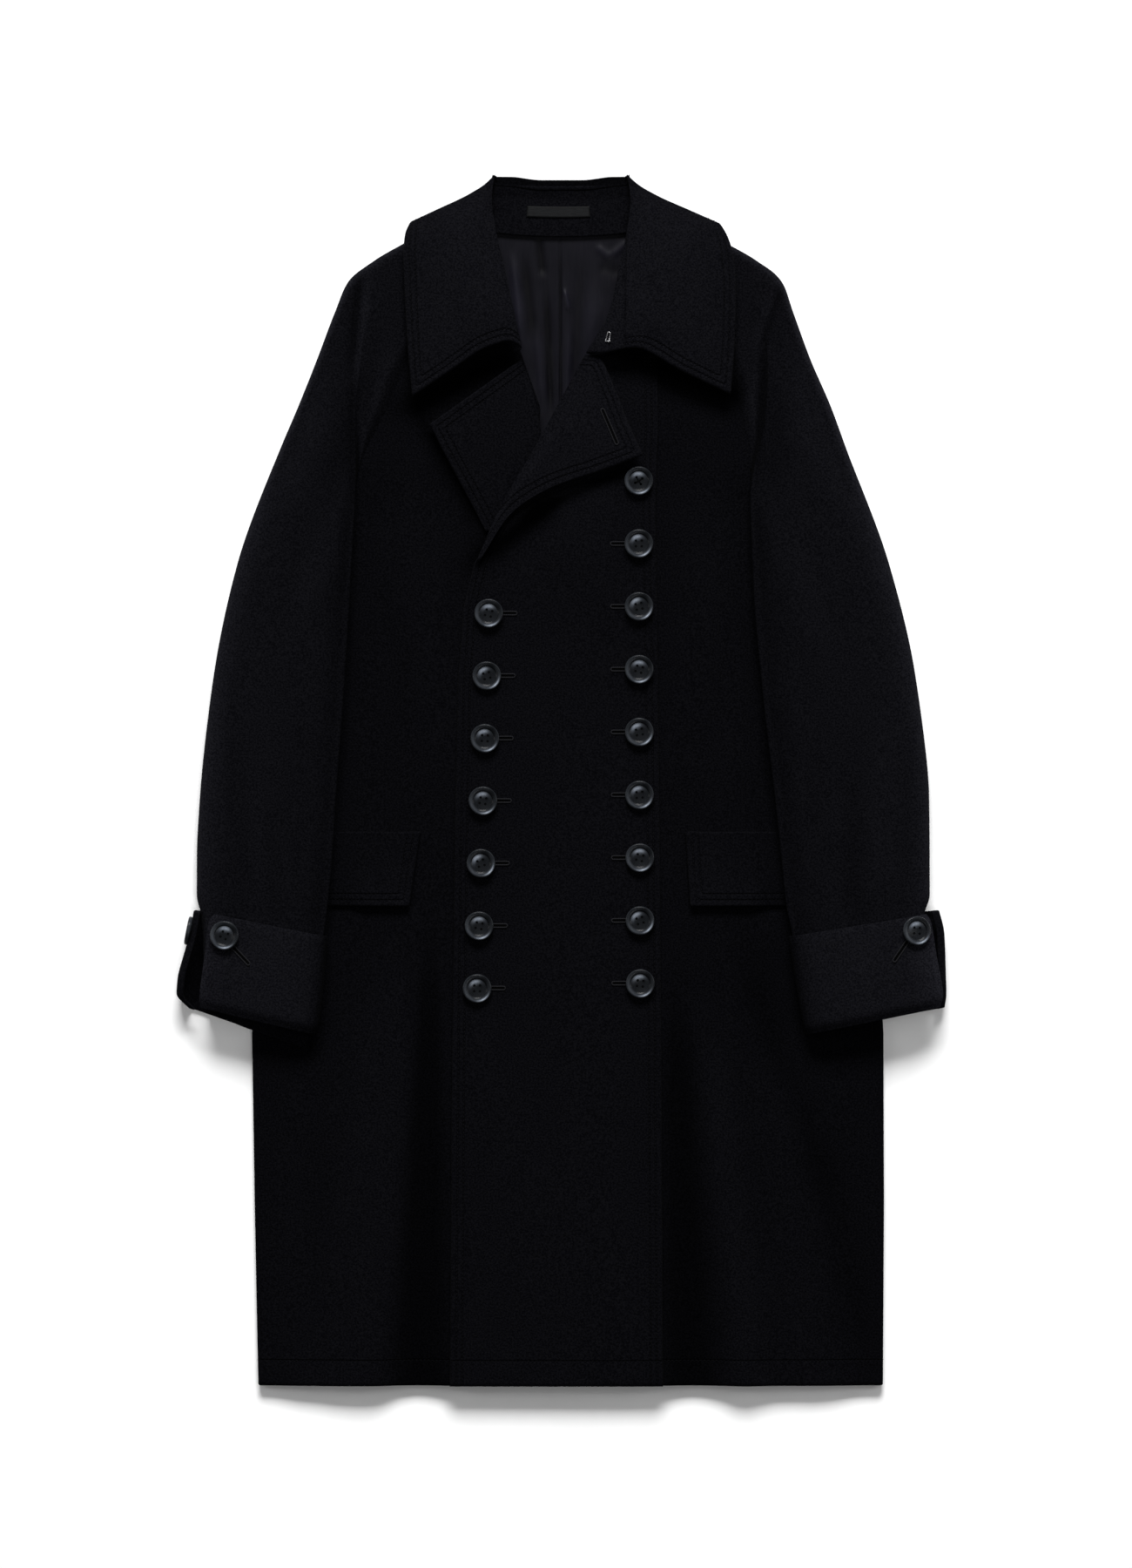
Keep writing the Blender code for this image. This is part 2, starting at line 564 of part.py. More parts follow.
def sleeve_back_grid(side, across, along):
    """Under half of a sleeve: on the back panel at the shoulder, over the front below the armpit."""
    sections = []
    for index, row in enumerate(SLEEVE):
        outer, inner = sleeve_ends(row, side)
        span = inner - outer
        free = index > ARMPIT_ROW
        end = SLEEVE_BACK_END if free else SHOULDER_BACK_END
        over = index >= ARMPIT_ROW
        seat = SLEEVE_SEAT if over else row.floor + SHOULDER_BACK_RISE
        seat += WOOL
        low = max(row.floor, SLEEVE_LOWEST) + WOOL
        rise = seat - low
        profile = [
            (SLEEVE_BACK_FROM, low),
            (0.16, low + 0.35 * rise),
            (0.34, low + 0.84 * rise),
            (0.60, low + 0.96 * rise),
            (end, seat),
        ]
        sections.append([(*(outer + span * share), z) for share, z in profile])
    return loft(sections, across, along)


def cuff_front_grid(side, across, along):
    sections = []
    for row in CUFF_FRONT:
        outer, inner = sleeve_ends(row, side)
        span = inner - outer
        end = SPLIT_EDGE[side]
        top = row.right_top if side < 0 else row.left_top
        profile = [
            (0.0, end * top),
            (0.07, (0.4 * end + 0.6) * top),
            (0.24, top),
            (0.55, top),
            (0.84, 0.95 * top),
            (0.965, 0.80 * top),
            (1.0, 0.62 * top),
            (0.992, SLEEVE_SEAT + 0.8),
        ]
        sections.append([(*(outer + span * share), z) for share, z in profile])
    return loft(sections, across, along)


def cuff_back_grid(side, across, along):
    sections = []
    body = BODY_UNDER_CUFF[side]
    last = len(CUFF_BACK) - 1
    for index, row in enumerate(CUFF_BACK):
        outer, inner = sleeve_ends(row, side)
        inner[1] -= CUFF_SLANT[side] * (index / last) ** 2
        span = inner - outer
        top = row.right_top if side < 0 else row.left_top
        profile = [
            (0.055, top),
            (0.015, 0.86 * top),
            (0.0, 0.5 * top),
            (0.035, 1.2),
            (0.14, 0.4),
            (body - 0.16, 2.2),
            (body - 0.02, 8.8),
            (body + 0.06, 9.8),
            (1.0, 10.9),
        ]
        sections.append([(*(outer + span * share), z) for share, z in profile])
    return loft(sections, across, along)


def flap_grid(edge, across, along):
    across = np.asarray(across)[None, :]
    along = np.asarray(along)[:, None]
    first = edge.under_top + (edge.under_foot - edge.under_top) * along
    last = edge.free_top + (edge.free_foot - edge.free_top) * along
    x = first + (last - first) * across
    y = FLAP_TOP_Y + (FLAP_FOOT_Y - FLAP_TOP_Y) * along + 0.0 * x
    towards = math.copysign(1.0, edge.free_top - edge.under_top)
    raised = soft((x - edge.lift_from) * towards / FLAP_LIFT_FROM)
    z = front_top(x, y) + 2.0 * GAP + WOOL + FLAP_LIFT * raised * along ** 2
    return np.stack([x, y, z], axis=-1)


def material(name, colour, roughness, metallic=0.0):
    made = bpy.data.materials.new(name)
    made.use_nodes = True
    shader = made.node_tree.nodes["Principled BSDF"]
    shader.inputs["Base Color"].default_value = (*colour, 1.0)
    shader.inputs["Roughness"].default_value = roughness
    shader.inputs["Metallic"].default_value = metallic
    return made


def add(name, mesh, look):
    made = bpy.data.objects.new(name, mesh)
    made.data.materials.clear()
    made.data.materials.append(look)
    bpy.context.scene.collection.objects.link(made)
    made.parent = ROOT
    return made


def wall(name, grid, thick, look, out=1.0):
    """Closed wall whose outer face is the grid, thick inwards along its normals."""
    across = np.gradient(grid, axis=1)
    along = np.gradient(grid, axis=0)
    normal = np.cross(along, across) * out
    normal /= np.linalg.norm(normal, axis=-1, keepdims=True)
    rows, columns = grid.shape[:2]
    count = rows * columns
    points = np.concatenate([grid.reshape(-1, 3), (grid - normal * thick).reshape(-1, 3)]) * MM
    faces = []
    for r in range(rows - 1):
        for c in range(columns - 1):
            a = r * columns + c
            b = a + 1
            d = a + columns
            e = d + 1
            faces.append((a, d, e, b))
            faces.append((count + a, count + b, count + e, count + d))
    rim = [r * columns for r in range(rows)]
    rim += [(rows - 1) * columns + c for c in range(1, columns)]
    rim += [r * columns + columns - 1 for r in range(rows - 2, -1, -1)]
    rim += list(range(columns - 2, 0, -1))
    for first, second in zip(rim, rim[1:] + rim[:1]):
        faces.append((second, first, count + first, count + second))
    if out < 0.0:
        faces = [face[::-1] for face in faces]
    mesh = bpy.data.meshes.new(name)
    mesh.from_pydata(points.tolist(), [], faces)
    return add(name, mesh, look)


def even(count):
    return np.linspace(0.0, 1.0, count)


def by_rows(table, parts):
    """Places along a table by height, with every row of it and the same number of steps between rows."""
    heights = np.array([row.y for row in table])
    places = (heights[0] - heights) / (heights[0] - heights[-1])
    return np.interp(np.arange((len(places) - 1) * parts + 1) / parts, np.arange(len(places)), places)


def lathe(profile, sides):
    """Closed solid of revolution about Z from (radius, height) pairs, both ends on the axis."""
    shape = bmesh.new()
    loops = []
    for radius, height in profile:
        if radius == 0.0:
            loops.append([shape.verts.new((0.0, 0.0, height * MM))])
            continue
        loop = []
        for k in range(sides):
            turn = 2.0 * math.pi * k / sides
            point = Vector((radius * math.cos(turn), radius * math.sin(turn), height))
            loop.append(shape.verts.new(point * MM))
        loops.append(loop)
    for lower, upper in zip(loops, loops[1:]):
        for k in range(sides):
            after = (k + 1) % sides
            if len(lower) == 1:
                shape.faces.new((lower[0], upper[k], upper[after]))
            elif len(upper) == 1:
                shape.faces.new((lower[k], upper[0], lower[after]))
            else:
                shape.faces.new((lower[k], upper[k], upper[after], lower[after]))
    bmesh.ops.recalc_face_normals(shape, faces=shape.faces)
    mesh = bpy.data.meshes.new("turned")
    shape.to_mesh(mesh)
    shape.free()
    return mesh


def button_mesh():
    """A button with a broad rim, a dished middle and four holes, standing on its foot."""
    radius = BUTTON_D / 2.0
    body = add("button_blank", lathe([
        (0.0, 0.0),
        (radius - 4.0, 0.0),
        (radius, 0.55 * BUTTON_H),
        (radius - 1.6, BUTTON_H),
        (radius - RIM_W, BUTTON_H - 0.2),
        (radius - RIM_W - 1.6, BUTTON_H - DISH_DEPTH),
        (0.0, BUTTON_H - DISH_DEPTH),
    ], BUTTON_SIDES), BUTTON_LOOK)
    cutters = []
    for turn in range(4):
        angle = math.radians(45.0 + 90.0 * turn)
        away = HOLE_SQUARE / 2.0 * math.sqrt(2.0)
        drill = add("hole_cutter", lathe([
            (0.0, -1.0), (HOLE_D / 2.0, -1.0), (HOLE_D / 2.0, BUTTON_H + 1.0), (0.0, BUTTON_H + 1.0),
        ], HOLE_SIDES), BUTTON_LOOK)
        drill.location = (away * math.cos(angle) * MM, away * math.sin(angle) * MM, 0.0)
        drill.hide_render = True
        drill.display_type = "WIRE"
        cut = body.modifiers.new("hole", "BOOLEAN")
        cut.operation = "DIFFERENCE"
        cut.solver = "EXACT"
        cut.object = drill
        cutters.append(drill)
    bpy.context.view_layer.update()
    graph = bpy.context.evaluated_depsgraph_get()
    mesh = bpy.data.meshes.new_from_object(body.evaluated_get(graph))
    for helper in [body] + cutters:
        bpy.data.objects.remove(helper)
    return mesh


def seat_on(grid, out, x, y, z, reach):
    """Where a flat piece of a given reach touches a surface near a point: its place and its lean."""
    normal = np.cross(np.gradient(grid, axis=0), np.gradient(grid, axis=1)) * out
    normal = normal / np.linalg.norm(normal, axis=-1, keepdims=True)
    flat = grid.reshape(-1, 3)
    nearest = int(np.argmin(np.linalg.norm(flat - np.array([x, y, z]), axis=1)))
    middle = flat[nearest]
    up = normal.reshape(-1, 3)[nearest]
    near = flat[np.linalg.norm(flat - middle, axis=1) < reach]
    height = float(np.max((near - middle) @ up))
    return Vector(middle + up * (height + GAP)) * MM, Vector(up).to_track_quat("Z", "Y")


def place_button(name, place, lean, turn):
    made = bpy.data.objects.new(name, BUTTON)
    bpy.context.scene.collection.objects.link(made)
    made.parent = ROOT
    made.location = place
    made.rotation_mode = "QUATERNION"
    made.rotation_quaternion = lean @ Quaternion((0.0, 0.0, 1.0), math.radians(turn))
    return made


def hook(place, lean):
    """A long closed loop of round wire."""
    path = bpy.data.curves.new("collar_hook", "CURVE")
    path.dimensions = "3D"
    path.bevel_depth = HOOK_WIRE * MM
    path.bevel_resolution = 1
    spline = path.splines.new("POLY")
    spline.points.add(HOOK_POINTS - 1)
    straight = 0.5 * (HOOK_LONG - HOOK_WIDE)
    for k, point in enumerate(spline.points):
        turn = 2.0 * math.pi * (k + 0.5) / HOOK_POINTS
        x = 0.5 * HOOK_WIDE * math.cos(turn)
        y = 0.5 * HOOK_WIDE * math.sin(turn) + math.copysign(straight, math.sin(turn))
        point.co = (x * MM, y * MM, HOOK_WIRE * MM, 1.0)
    spline.use_cyclic_u = True
    made = add("collar_hook", path, WIRE_LOOK)
    made.location = place
    made.rotation_mode = "QUATERNION"
    made.rotation_quaternion = lean @ Quaternion((0.0, 0.0, 1.0), math.radians(HOOK_TURN))


def button_row(side, count, x_top, x_bottom, y_top, pitch):
    ring = np.linspace(0.0, 2.0 * math.pi, 12)
    for k in range(count):
        x = x_top + (x_bottom - x_top) * k / (count - 1)
        y = y_top - pitch * k
        rim_x = x + 0.5 * BUTTON_D * np.cos(ring)
        rim_y = y + 0.5 * BUTTON_D * np.sin(ring)
        z = float(np.max(panel_top(rim_x, rim_y))) + BUTTON_CLEAR
        turn = BUTTON_TURN * math.sin(BUTTON_TURN_STEP * k + len(side))
        place_button(f"button_{side}_{k + 1}", Vector((x, y, z)) * MM, Quaternion(), turn)


for old in list(bpy.data.objects):
    bpy.data.objects.remove(old)

ROOT = bpy.data.objects.new("coat", None)
bpy.context.scene.collection.objects.link(ROOT)

WOOL_LOOK = material("wool", (0.010, 0.010, 0.012), 0.9)
SATIN_LOOK = material("satin", (0.008, 0.008, 0.010), 0.4)
BUTTON_LOOK = material("horn_resin", (0.012, 0.012, 0.014), 0.3)
LABEL_LOOK = material("label_weave", (0.02, 0.02, 0.022), 0.7)
WIRE_LOOK = material("hook_wire", (0.35, 0.35, 0.36), 0.35, 1.0)

ROLL_COLUMNS = [0.0, 0.36 * ROLL_SHARE, 0.68 * ROLL_SHARE, ROLL_SHARE]
FRONT_COLUMNS = ROLL_COLUMNS + list(np.linspace(ROLL_SHARE, 1.0, 12)[1:])
FRONT_ROWS = by_rows(BODY, 2)

wall("back", back_grid(even(9), by_rows(BACK, 2)), WOOL, WOOL_LOOK)
wall("front_right", front_grid(-1, FRONT_COLUMNS, FRONT_ROWS), WOOL, WOOL_LOOK)
wall("front_left", front_grid(1, FRONT_COLUMNS, FRONT_ROWS), WOOL, WOOL_LOOK, -1.0)
wall("front_panel", panel_grid(even(7), by_rows(PANEL, 2)), WOOL, WOOL_LOOK)
wall("lapel_left", lapel_grid(LAPEL_LEFT, even(9), even(9)), WOOL, WOOL_LOOK)
wall("lapel_right", lapel_grid(LAPEL_RIGHT, even(9), even(9)), WOOL, WOOL_LOOK, -1.0)
wall("collar", loft(collar_sections(), even(11), even(35)), WOOL, WOOL_LOOK, 1.0)
wall("collar_stand", stand_grid(even(9), even(3)), WOOL, WOOL_LOOK)
wall("label", label_grid(even(7), even(2)), LABEL_WALL, LABEL_LOOK)
wall("lining_back", lining_grid(even(13), even(9)), SATIN, SATIN_LOOK)

SLEEVE_COLUMNS = even(17)
SLEEVE_ROWS = even(25)
for side, name in ((-1, "right"), (1, "left")):
    out = 1.0 if side < 0 else -1.0
    upper = loft(sleeve_sections(side), SLEEVE_COLUMNS, SLEEVE_ROWS)
    wall(f"sleeve_{name}_front", upper, WOOL, WOOL_LOOK, out)
    wall(f"sleeve_{name}_back", sleeve_back_grid(side, even(7), SLEEVE_ROWS), WOOL, WOOL_LOOK, out)
    wall(f"cuff_{name}_front", cuff_front_grid(side, even(15), even(7)), WOOL, WOOL_LOOK, out)
    wall(f"cuff_{name}_back", cuff_back_grid(side, even(15), even(7)), WOOL, WOOL_LOOK, -out)
wall("flap_right", flap_grid(FLAP_RIGHT, even(7), even(4)), WOOL, WOOL_LOOK)
wall("flap_left", flap_grid(FLAP_LEFT, even(7), even(4)), WOOL, WOOL_LOOK, -1.0)

BUTTON = button_mesh()
button_row("left", **LEFT_ROW)
button_row("right", **RIGHT_ROW)

FINE = even(81)
cuff_right = cuff_front_grid(-1, FINE, FINE)
cuff_left = cuff_front_grid(1, FINE, FINE)
split_right = cuff_back_grid(-1, FINE, FINE)
place_button("button_cuff_right", *seat_on(cuff_right, 1.0, *CUFF_RIGHT_BUTTON, 0.5 * BUTTON_D), 30.0)
place_button("button_cuff_left", *seat_on(cuff_left, -1.0, *CUFF_LEFT_BUTTON, 0.5 * BUTTON_D), 12.0)
place_button("button_split_right", *seat_on(split_right, -1.0, *SPLIT_RIGHT_BUTTON, 0.5 * BUTTON_D), 12.0)
hook(*seat_on(loft(collar_sections(), FINE, even(201)), 1.0, HOOK_X, HOOK_Y, HOOK_Z, 0.5 * HOOK_LONG))
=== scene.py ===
"""Looks of the raglan coat: cloth shells, sewing, buttons, hook, floor, lights and camera.

The tables and the functions of the forms are those of the part, in millimetres; the scene is in metres.
"""

import math
from collections import namedtuple

import bmesh
import bpy
import numpy as np
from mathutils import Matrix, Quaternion, Vector


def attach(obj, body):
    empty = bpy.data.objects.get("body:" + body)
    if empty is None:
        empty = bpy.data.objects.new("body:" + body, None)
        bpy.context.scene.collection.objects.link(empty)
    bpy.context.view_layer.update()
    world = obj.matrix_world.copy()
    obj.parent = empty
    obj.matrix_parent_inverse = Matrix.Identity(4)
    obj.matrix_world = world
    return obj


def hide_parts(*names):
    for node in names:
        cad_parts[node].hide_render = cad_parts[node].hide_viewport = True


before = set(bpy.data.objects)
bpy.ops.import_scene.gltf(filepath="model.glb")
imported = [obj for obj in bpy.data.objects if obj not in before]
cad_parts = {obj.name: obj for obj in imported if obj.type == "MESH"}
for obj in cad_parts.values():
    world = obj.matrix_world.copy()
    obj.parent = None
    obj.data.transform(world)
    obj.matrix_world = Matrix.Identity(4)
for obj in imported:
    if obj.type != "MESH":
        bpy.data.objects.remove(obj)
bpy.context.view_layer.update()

MM = 0.001


def rows_of(columns, *rows):
    """A table of numbers with named columns."""
    kind = namedtuple("Row", columns)
    return [kind(*map(float, row)) for row in rows]


# Cloth walls and the gaps between them
WOOL = 2.0
SATIN = 1.0
LABEL_WALL = 0.6
GAP = 0.4

# Whole coat
HEM_Y = -570.0
HEM_BACK_Y = -567.5
CHEST_TOP = 13.0
SIDE_TOP = 8.2
SIDE_BLEND = 190.0
UNDERARM_Y = 262.0
YOKE_Y = 305.0
COLLAR_LIFT = 2.6
LIFT_FROM_Y = 446.0
LIFT_TO_Y = 466.0
LIFT_HALF = 165.0
LIFT_SIDE = 30.0

# Rolled side seam of a front: its share of the width, and the degrees it turns through
ROLL_SHARE = 0.05
ROLL_FROM = -60.0
ROLL_TURN = 150.0
ROLL_END = 6.0
YOKE_ROLL_IN = 0.6
YOKE_LEAD = 20.0

# How the folds fade: at the start and past the end of their line, and towards the side seams
FOLD_FADE_IN = 0.35
FOLD_LAST = 1.35
FOLD_FADE_OUT = 0.3
FOLD_CALM_FROM = 4.0
FOLD_CALM_RUN = 40.0

# Front panel
PANEL_TOP = 15.9
PANEL_NECK_RISE = 5.1
PANEL_NECK_FROM_Y = 150.0
PANEL_NECK_RUN_Y = 90.0
PANEL_NECK_X = 62.0
PANEL_NECK_RUN_X = 50.0
PANEL_SWELL = 0.8
PANEL_SWELL_Y = 140.0
PANEL_SWELL_RUN = 120.0

# Sleeves
SLEEVE_SEAT = 13.6
SHOULDER_SEAM_TOP = 15.7
SLEEVE_TUCK = 0.035
SLEEVE_BACK_FROM = 0.075
SLEEVE_BACK_END = 0.915
SHOULDER_BACK_END = 0.70
SHOULDER_BACK_RISE = 2.8
SLEEVE_LOWEST = 0.3
SLEEVE_INNER_UP = 0.4
SLEEVE_FOOT_DOWN = 0.1
SHOULDER_SIDE = 0.12
CUFF_INNER_UP = 0.8

# Buttons
BUTTON_D = 27.0
HALF_BUTTON = 0.5 * BUTTON_D
HOLE_D = 2.4
HOLE_SQUARE = 5.4
BUTTON_TURN = 17.0
BUTTON_TURN_STEP = 2.3
BUTTON_CLEAR = 0.6
BUTTON_TILT = 2.2
TILT_STEP = 2.6
SWING_STEP = 1.9
SWING_SIDE = 0.7
SEAT_POINTS = 12
LEFT_ROW = dict(count=9, x_top=72.4, x_bottom=73.9, y_top=282.4, pitch=59.1)
CuffButton = namedtuple("CuffButton", "x y z")
CUFF_RIGHT_BUTTON = CuffButton(-316.5, -145.0, 33.0)
CUFF_LEFT_BUTTON = CuffButton(331.0, -140.0, 31.0)
SPLIT_RIGHT_BUTTON = CuffButton(-352.0, -141.0, 14.6)
RIGHT_ROW = dict(count=7, x_top=-68.6, x_bottom=-79.6, y_top=157.8, pitch=58.8)

# Outline of the fronts by height: the sides, and the edges at the centre
BODY = rows_of(
    "y right_side right_centre left_centre left_side",
    (446, -140, -66, 52, 150),
    (406, -158, -39, 31, 170),
    (352, -184, -20, 24, 186),
    (305, -200, -22, 30, 190),
    (262, -240, -30, 38, 246),
    (180, -263.4, -40, 38, 271.4),
    (0, -281.4, -50, 40, 291.4),
    (-239, -292.4, -54, 42, 303.9),
    (-400, -289.9, -56, 44, 304.4),
    (HEM_Y, -286.4, -58, 46, 303.4),
)

# Back panel: raglan seams above the underarm, then just inside the rolled side seams
BACK = rows_of(
    "y right left",
    (509, -80, 80),
    (477, -130, 134),
    (446, -163, 168),
    (418, -184, 189),
    (352, -209, 211),
    (318, -219, 221),
    (262, -231, 237),
    (180, -254, 262),
    (0, -273, 283),
    (-239, -284, 295.5),
    (-400, -282, 296.5),
    (HEM_BACK_Y, -278.5, 295.5),
)

# Folds of the fronts: soft ridges (height above zero) and troughs (below) along a line from top to bottom
FOLDS = rows_of(
    "x0 y0 x1 y1 wide0 wide1 height",
    (-150, -120, -206, -600, 30, 42, 4.6),
    (-126, -90, -136, -600, 14, 26, -2.6),
    (-250, -260, -262, -600, 22, 26, 1.6),
    (108, -170, 128, -600, 14, 30, -2.6),
    (128, -190, 172, -600, 18, 30, 4.2),
    (150, -60, 268, -470, 20, 26, -1.6),
    (196, -200, 246, -600, 24, 34, 2.6),
    (-150, 330, -128, 60, 26, 30, 1.4),
    (128, 330, 140, 40, 24, 30, 1.6),
)

# Front panel edges; above the break the left edge is the roll line of the large lapel
PANEL = rows_of(
    "y left right",
    (401, 26, 90),
    (336, -11, 91),
    (262, -51, 88.5),
    (205, -82, 89),
    (160, -93, 90),
    (90, -98, 91),
    (-60, -101, 92.5),
    (-280, -103.5, 94),
    (HEM_Y, -105.5, 95.5),
)

# Lapels: rows from the top edge to the lower end, between the roll line and the free edge
LAPEL_COLUMNS = "roll_x roll_y edge_x edge_y bow_x bow_y roll_z mid_z edge_z"
LAPEL_LEFT = rows_of(
    LAPEL_COLUMNS,
    (21.6, 400.6, 76.5, 306, 11.4, 0.6, 24, 26, 26),
    (2, 364, 36, 291, 0, 0, 24.4, 28, 26.6),
    (-28, 309, -8, 276, 0, 0, 24, 27.4, 26.4),
    (-58, 257, -46, 252.5, 0, 0, 23.6, 24.8, 25),
    (-80, 207, -76.5, 208, 0, 0, 23.4, 23.5, 23.4),
)
LAPEL_RIGHT = rows_of(
    LAPEL_COLUMNS,
    (-38, 397, -124.6, 335.4, 0, 0, 16.6, 18.6, 20),
    (-26, 362, -111, 309, 0, 0, 16.6, 18.2, 19),
    (-19, 320, -96.5, 282, 0, 0, 16.2, 17.6, 17.6),
    (-30, 276, -82.5, 256, 0, 0, 16, 16.4, 16.4),
    (-56, 236, -71.5, 235, 0, 0, 15.8, 16, 16),
)

LAPEL_TUCK = 3.0
LAPEL_TUCK_SHARE = 0.3
LAPEL_ROLL_DROP = 0.5
LAPEL_ROLL_UP = 0.4

# Places across a lapel beyond its tuck: shares of its width, of its bow, and of the fall to its edge
LAPEL_SPOTS = rows_of(
    "across bow fall",
    (0.35, 0.8, 0),
    (0.7, 0.3, 0.5),
    (1, 0, 1),
)

# Collar by sections, from the front edge over the shoulder fold to the middle of the back
COLLAR_COLUMNS = "roll_x roll_y edge_x edge_y near mid far roll_z mid_z edge_z"
COLLAR_RIGHT = rows_of(
    COLLAR_COLUMNS,
    (-37, 406, -140.5, 361, 12, 15, 7.5, 25, 32, 26),
    (-45, 442, -145, 409, 6.4, 8, 4, 28, 35, 26),
    (-54, 483, -147.6, 458, 2.4, 3, 1.5, 28, 34.5, 25.5),
    (-61, 514, -149, 492, 0.8, 1, 0.5, 26, 32, 25),
    (-65.5, 545, -147.6, 513.5, -1.6, -2, -1, 21, 26, 21.5),
    (-63, 571.5, -142, 527, -4, -5, -2.5, 12, 12.5, 12),
)
COLLAR_LEFT = rows_of(
    COLLAR_COLUMNS,
    (22.5, 402, 159, 363, 4.3, 17.5, 7.7, 25, 32, 26),
    (45, 442, 162.5, 409, 6.4, 8, 4, 28, 35, 26),
    (54, 483, 164, 458, 2.4, 3, 1.5, 28, 34.5, 25.5),
    (61, 515, 161.8, 491, 0.8, 1, 0.5, 26, 32, 25),
    (64.5, 545, 156, 513, -1.6, -2, -1, 21, 26, 21.5),
    (61.5, 571.5, 148.5, 525.5, -4, -5, -2.5, 12, 12.5, 12),
)
COLLAR_BACK_ROLL = (570.0, 565.0)
COLLAR_BACK_EDGE = (500.0, 478.0)
COLLAR_BACK_HALF = (46.0, 92.0)
COLLAR_FOLD_IN = 8.0
COLLAR_TURN_IN = 3.0
COLLAR_FOLD_TOP = 10.6
COLLAR_FOLD_LOW = 9.0
COLLAR_OPEN_FROM = 11.0
COLLAR_OPEN_RUN = 9.0
COLLAR_INNER_DROP = 4.0
COLLAR_BACK_CREST = 5.5
COLLAR_BACK_LOW = 0.3
COLLAR_BACK_MIDDLE = 0.6
COLLAR_SPOTS = (0.12, 0.34, 0.68)
COLLAR_NEAR_RISE = 0.75
COLLAR_FAR_FALL = 0.45
COLLAR_BACK_IN = 10.0
COLLAR_BACK_OUT = 1.1
COLLAR_BACK_DOWN = 7.0
COLLAR_BACK_SPOTS = (0.4, 0.7, 1.0)
COLLAR_TURN = rows_of(
    "share z",
    (0.2, COLLAR_FOLD_TOP),
    (0.2, COLLAR_BACK_CREST),
    (0.7, 1.6),
    (1, 0.9),
    (1, 0.6),
    (1, 0.6),
)

# Stand and lining inside the neck
STAND_TOP_Y = 558.0
STAND_FOOT_Y = 513.0
STAND_DIP = 2.0
STAND_FOOT_DIP = 5.0
STAND_HALF_TOP = 64.0
STAND_HALF_FOOT = 74.0
STAND_TOP_Z = 7.5
STAND_FOOT_Z = 8.9
LINING_TOP_Y = 520.0
LINING_FOOT_Y = 288.0
LINING_HALF_TOP = 70.0
LINING_HALF_FOOT = 40.0
LINING_LIFT_FROM_Y = 370.0
LINING_LIFT_TO_Y = 440.0
LINING_FOLD_START = 3.0
LINING_FOLDS = rows_of(
    "x wide height",
    (2, 7, 1.5),
    (-34, 12, 1.1),
    (36, 14, 0.9),
)
LABEL_X = -3.3
LABEL_HALF = 32.0
LABEL_FROM = 0.37
LABEL_TO = 0.60

# Sleeves by sections from neck to wrist; crease is where the inner roll lies across the section
SLEEVE = rows_of(
    "y_outer y_inner right_outer right_inner left_outer left_inner crown crease floor",
    (548, 470, -82.6, -72, 82.6, 72, 16, 0.5, 2.8),
    (514, 452, -136.6, -114, 142.6, 123, 16.4, 0.5, 2.8),
    (491.5, 417, -176.1, -145, 183.1, 160, 17.5, 0.45, 0.4),
    (471.5, 384, -201, -163, 207.5, 172, 20.5, 0.46, 0.3),
    (440.5, 352, -214.5, -175, 219, 178, 24.5, 0.62, 0.3),
    (398, 322, -230.5, -185, 234.5, 180, 27, 0.8, 0.3),
    (354, 294, -248, -191.5, 253.5, 178.5, 29, 0.96, 0.3),
    (309, 262, -267, -194.5, 270, 177.5, 30, 1, 0.3),
    (204, 176, -306, -199, 309, 180.5, 31, 1, 0.3),
    (100, 86, -328, -204.5, 333.5, 188.5, 31, 1, 0.3),
    (-13, -21, -341, -212.5, 346.5, 201, 30.5, 1, 0.3),
    (-70, -77, -344, -216, 347, 207, 29.5, 1, 0.6),
    (-106, -116, -344, -220, 347, 211, 28, 1, 2.8),
    (-128, -140, -339.6, -223, 341.6, 216, 27, 1, 3.8),
    (-165, -182, -337.6, -228, 340.6, 222, 26.5, 1, 4),
    (-210, -236, -336.6, -233, 342.6, 232.5, 26.8, 1, 4.2),
)
ARMPIT_ROW = 6

# Cuffs from the top edge to the turned lower edge: outer and inner ends of each section
CUFF_COLUMNS = "y_outer y_inner right_outer right_inner left_outer left_inner right_top left_top"
CUFF_FRONT = rows_of(
    CUFF_COLUMNS,
    (-124.5, -146, -326, -220, 343, 213.5, 32.5, 32.5),
    (-131, -152, -331, -220.8, 347, 214.5, 33.5, 33.5),
    (-165, -190, -335.5, -224, 353, 220, 34.5, 34.5),
    (-200, -228, -340, -228, 359, 227, 34, 34),
    (-213, -239, -340.5, -230.5, 356.5, 229.5, 29.4, 29.4),
)
CUFF_BACK = rows_of(
    CUFF_COLUMNS,
    (-121.5, -140, -346.5, -228, 356, 220, 25, 16),
    (-144, -164, -350.5, -230, 361, 224, 26, 17),
    (-185, -206, -361.8, -234, 362.5, 230, 25, 17),
    (-200, -224, -363, -237, 363, 233, 22, 15),
    (-214, -236, -352, -241, 361.5, 238, 15, 11),
)

# By side: how far a cuff's under half hangs lower at its inner end, how high the split edge of the upper half
# stands as a share of its top, and where across the under half the body's edge lies
CUFF_SLANT = {-1: 16.0, 1: 0.0}
SPLIT_EDGE = {-1: 0.90, 1: 0.70}
BODY_UNDER_CUFF = {-1: 0.56, 1: 0.46}

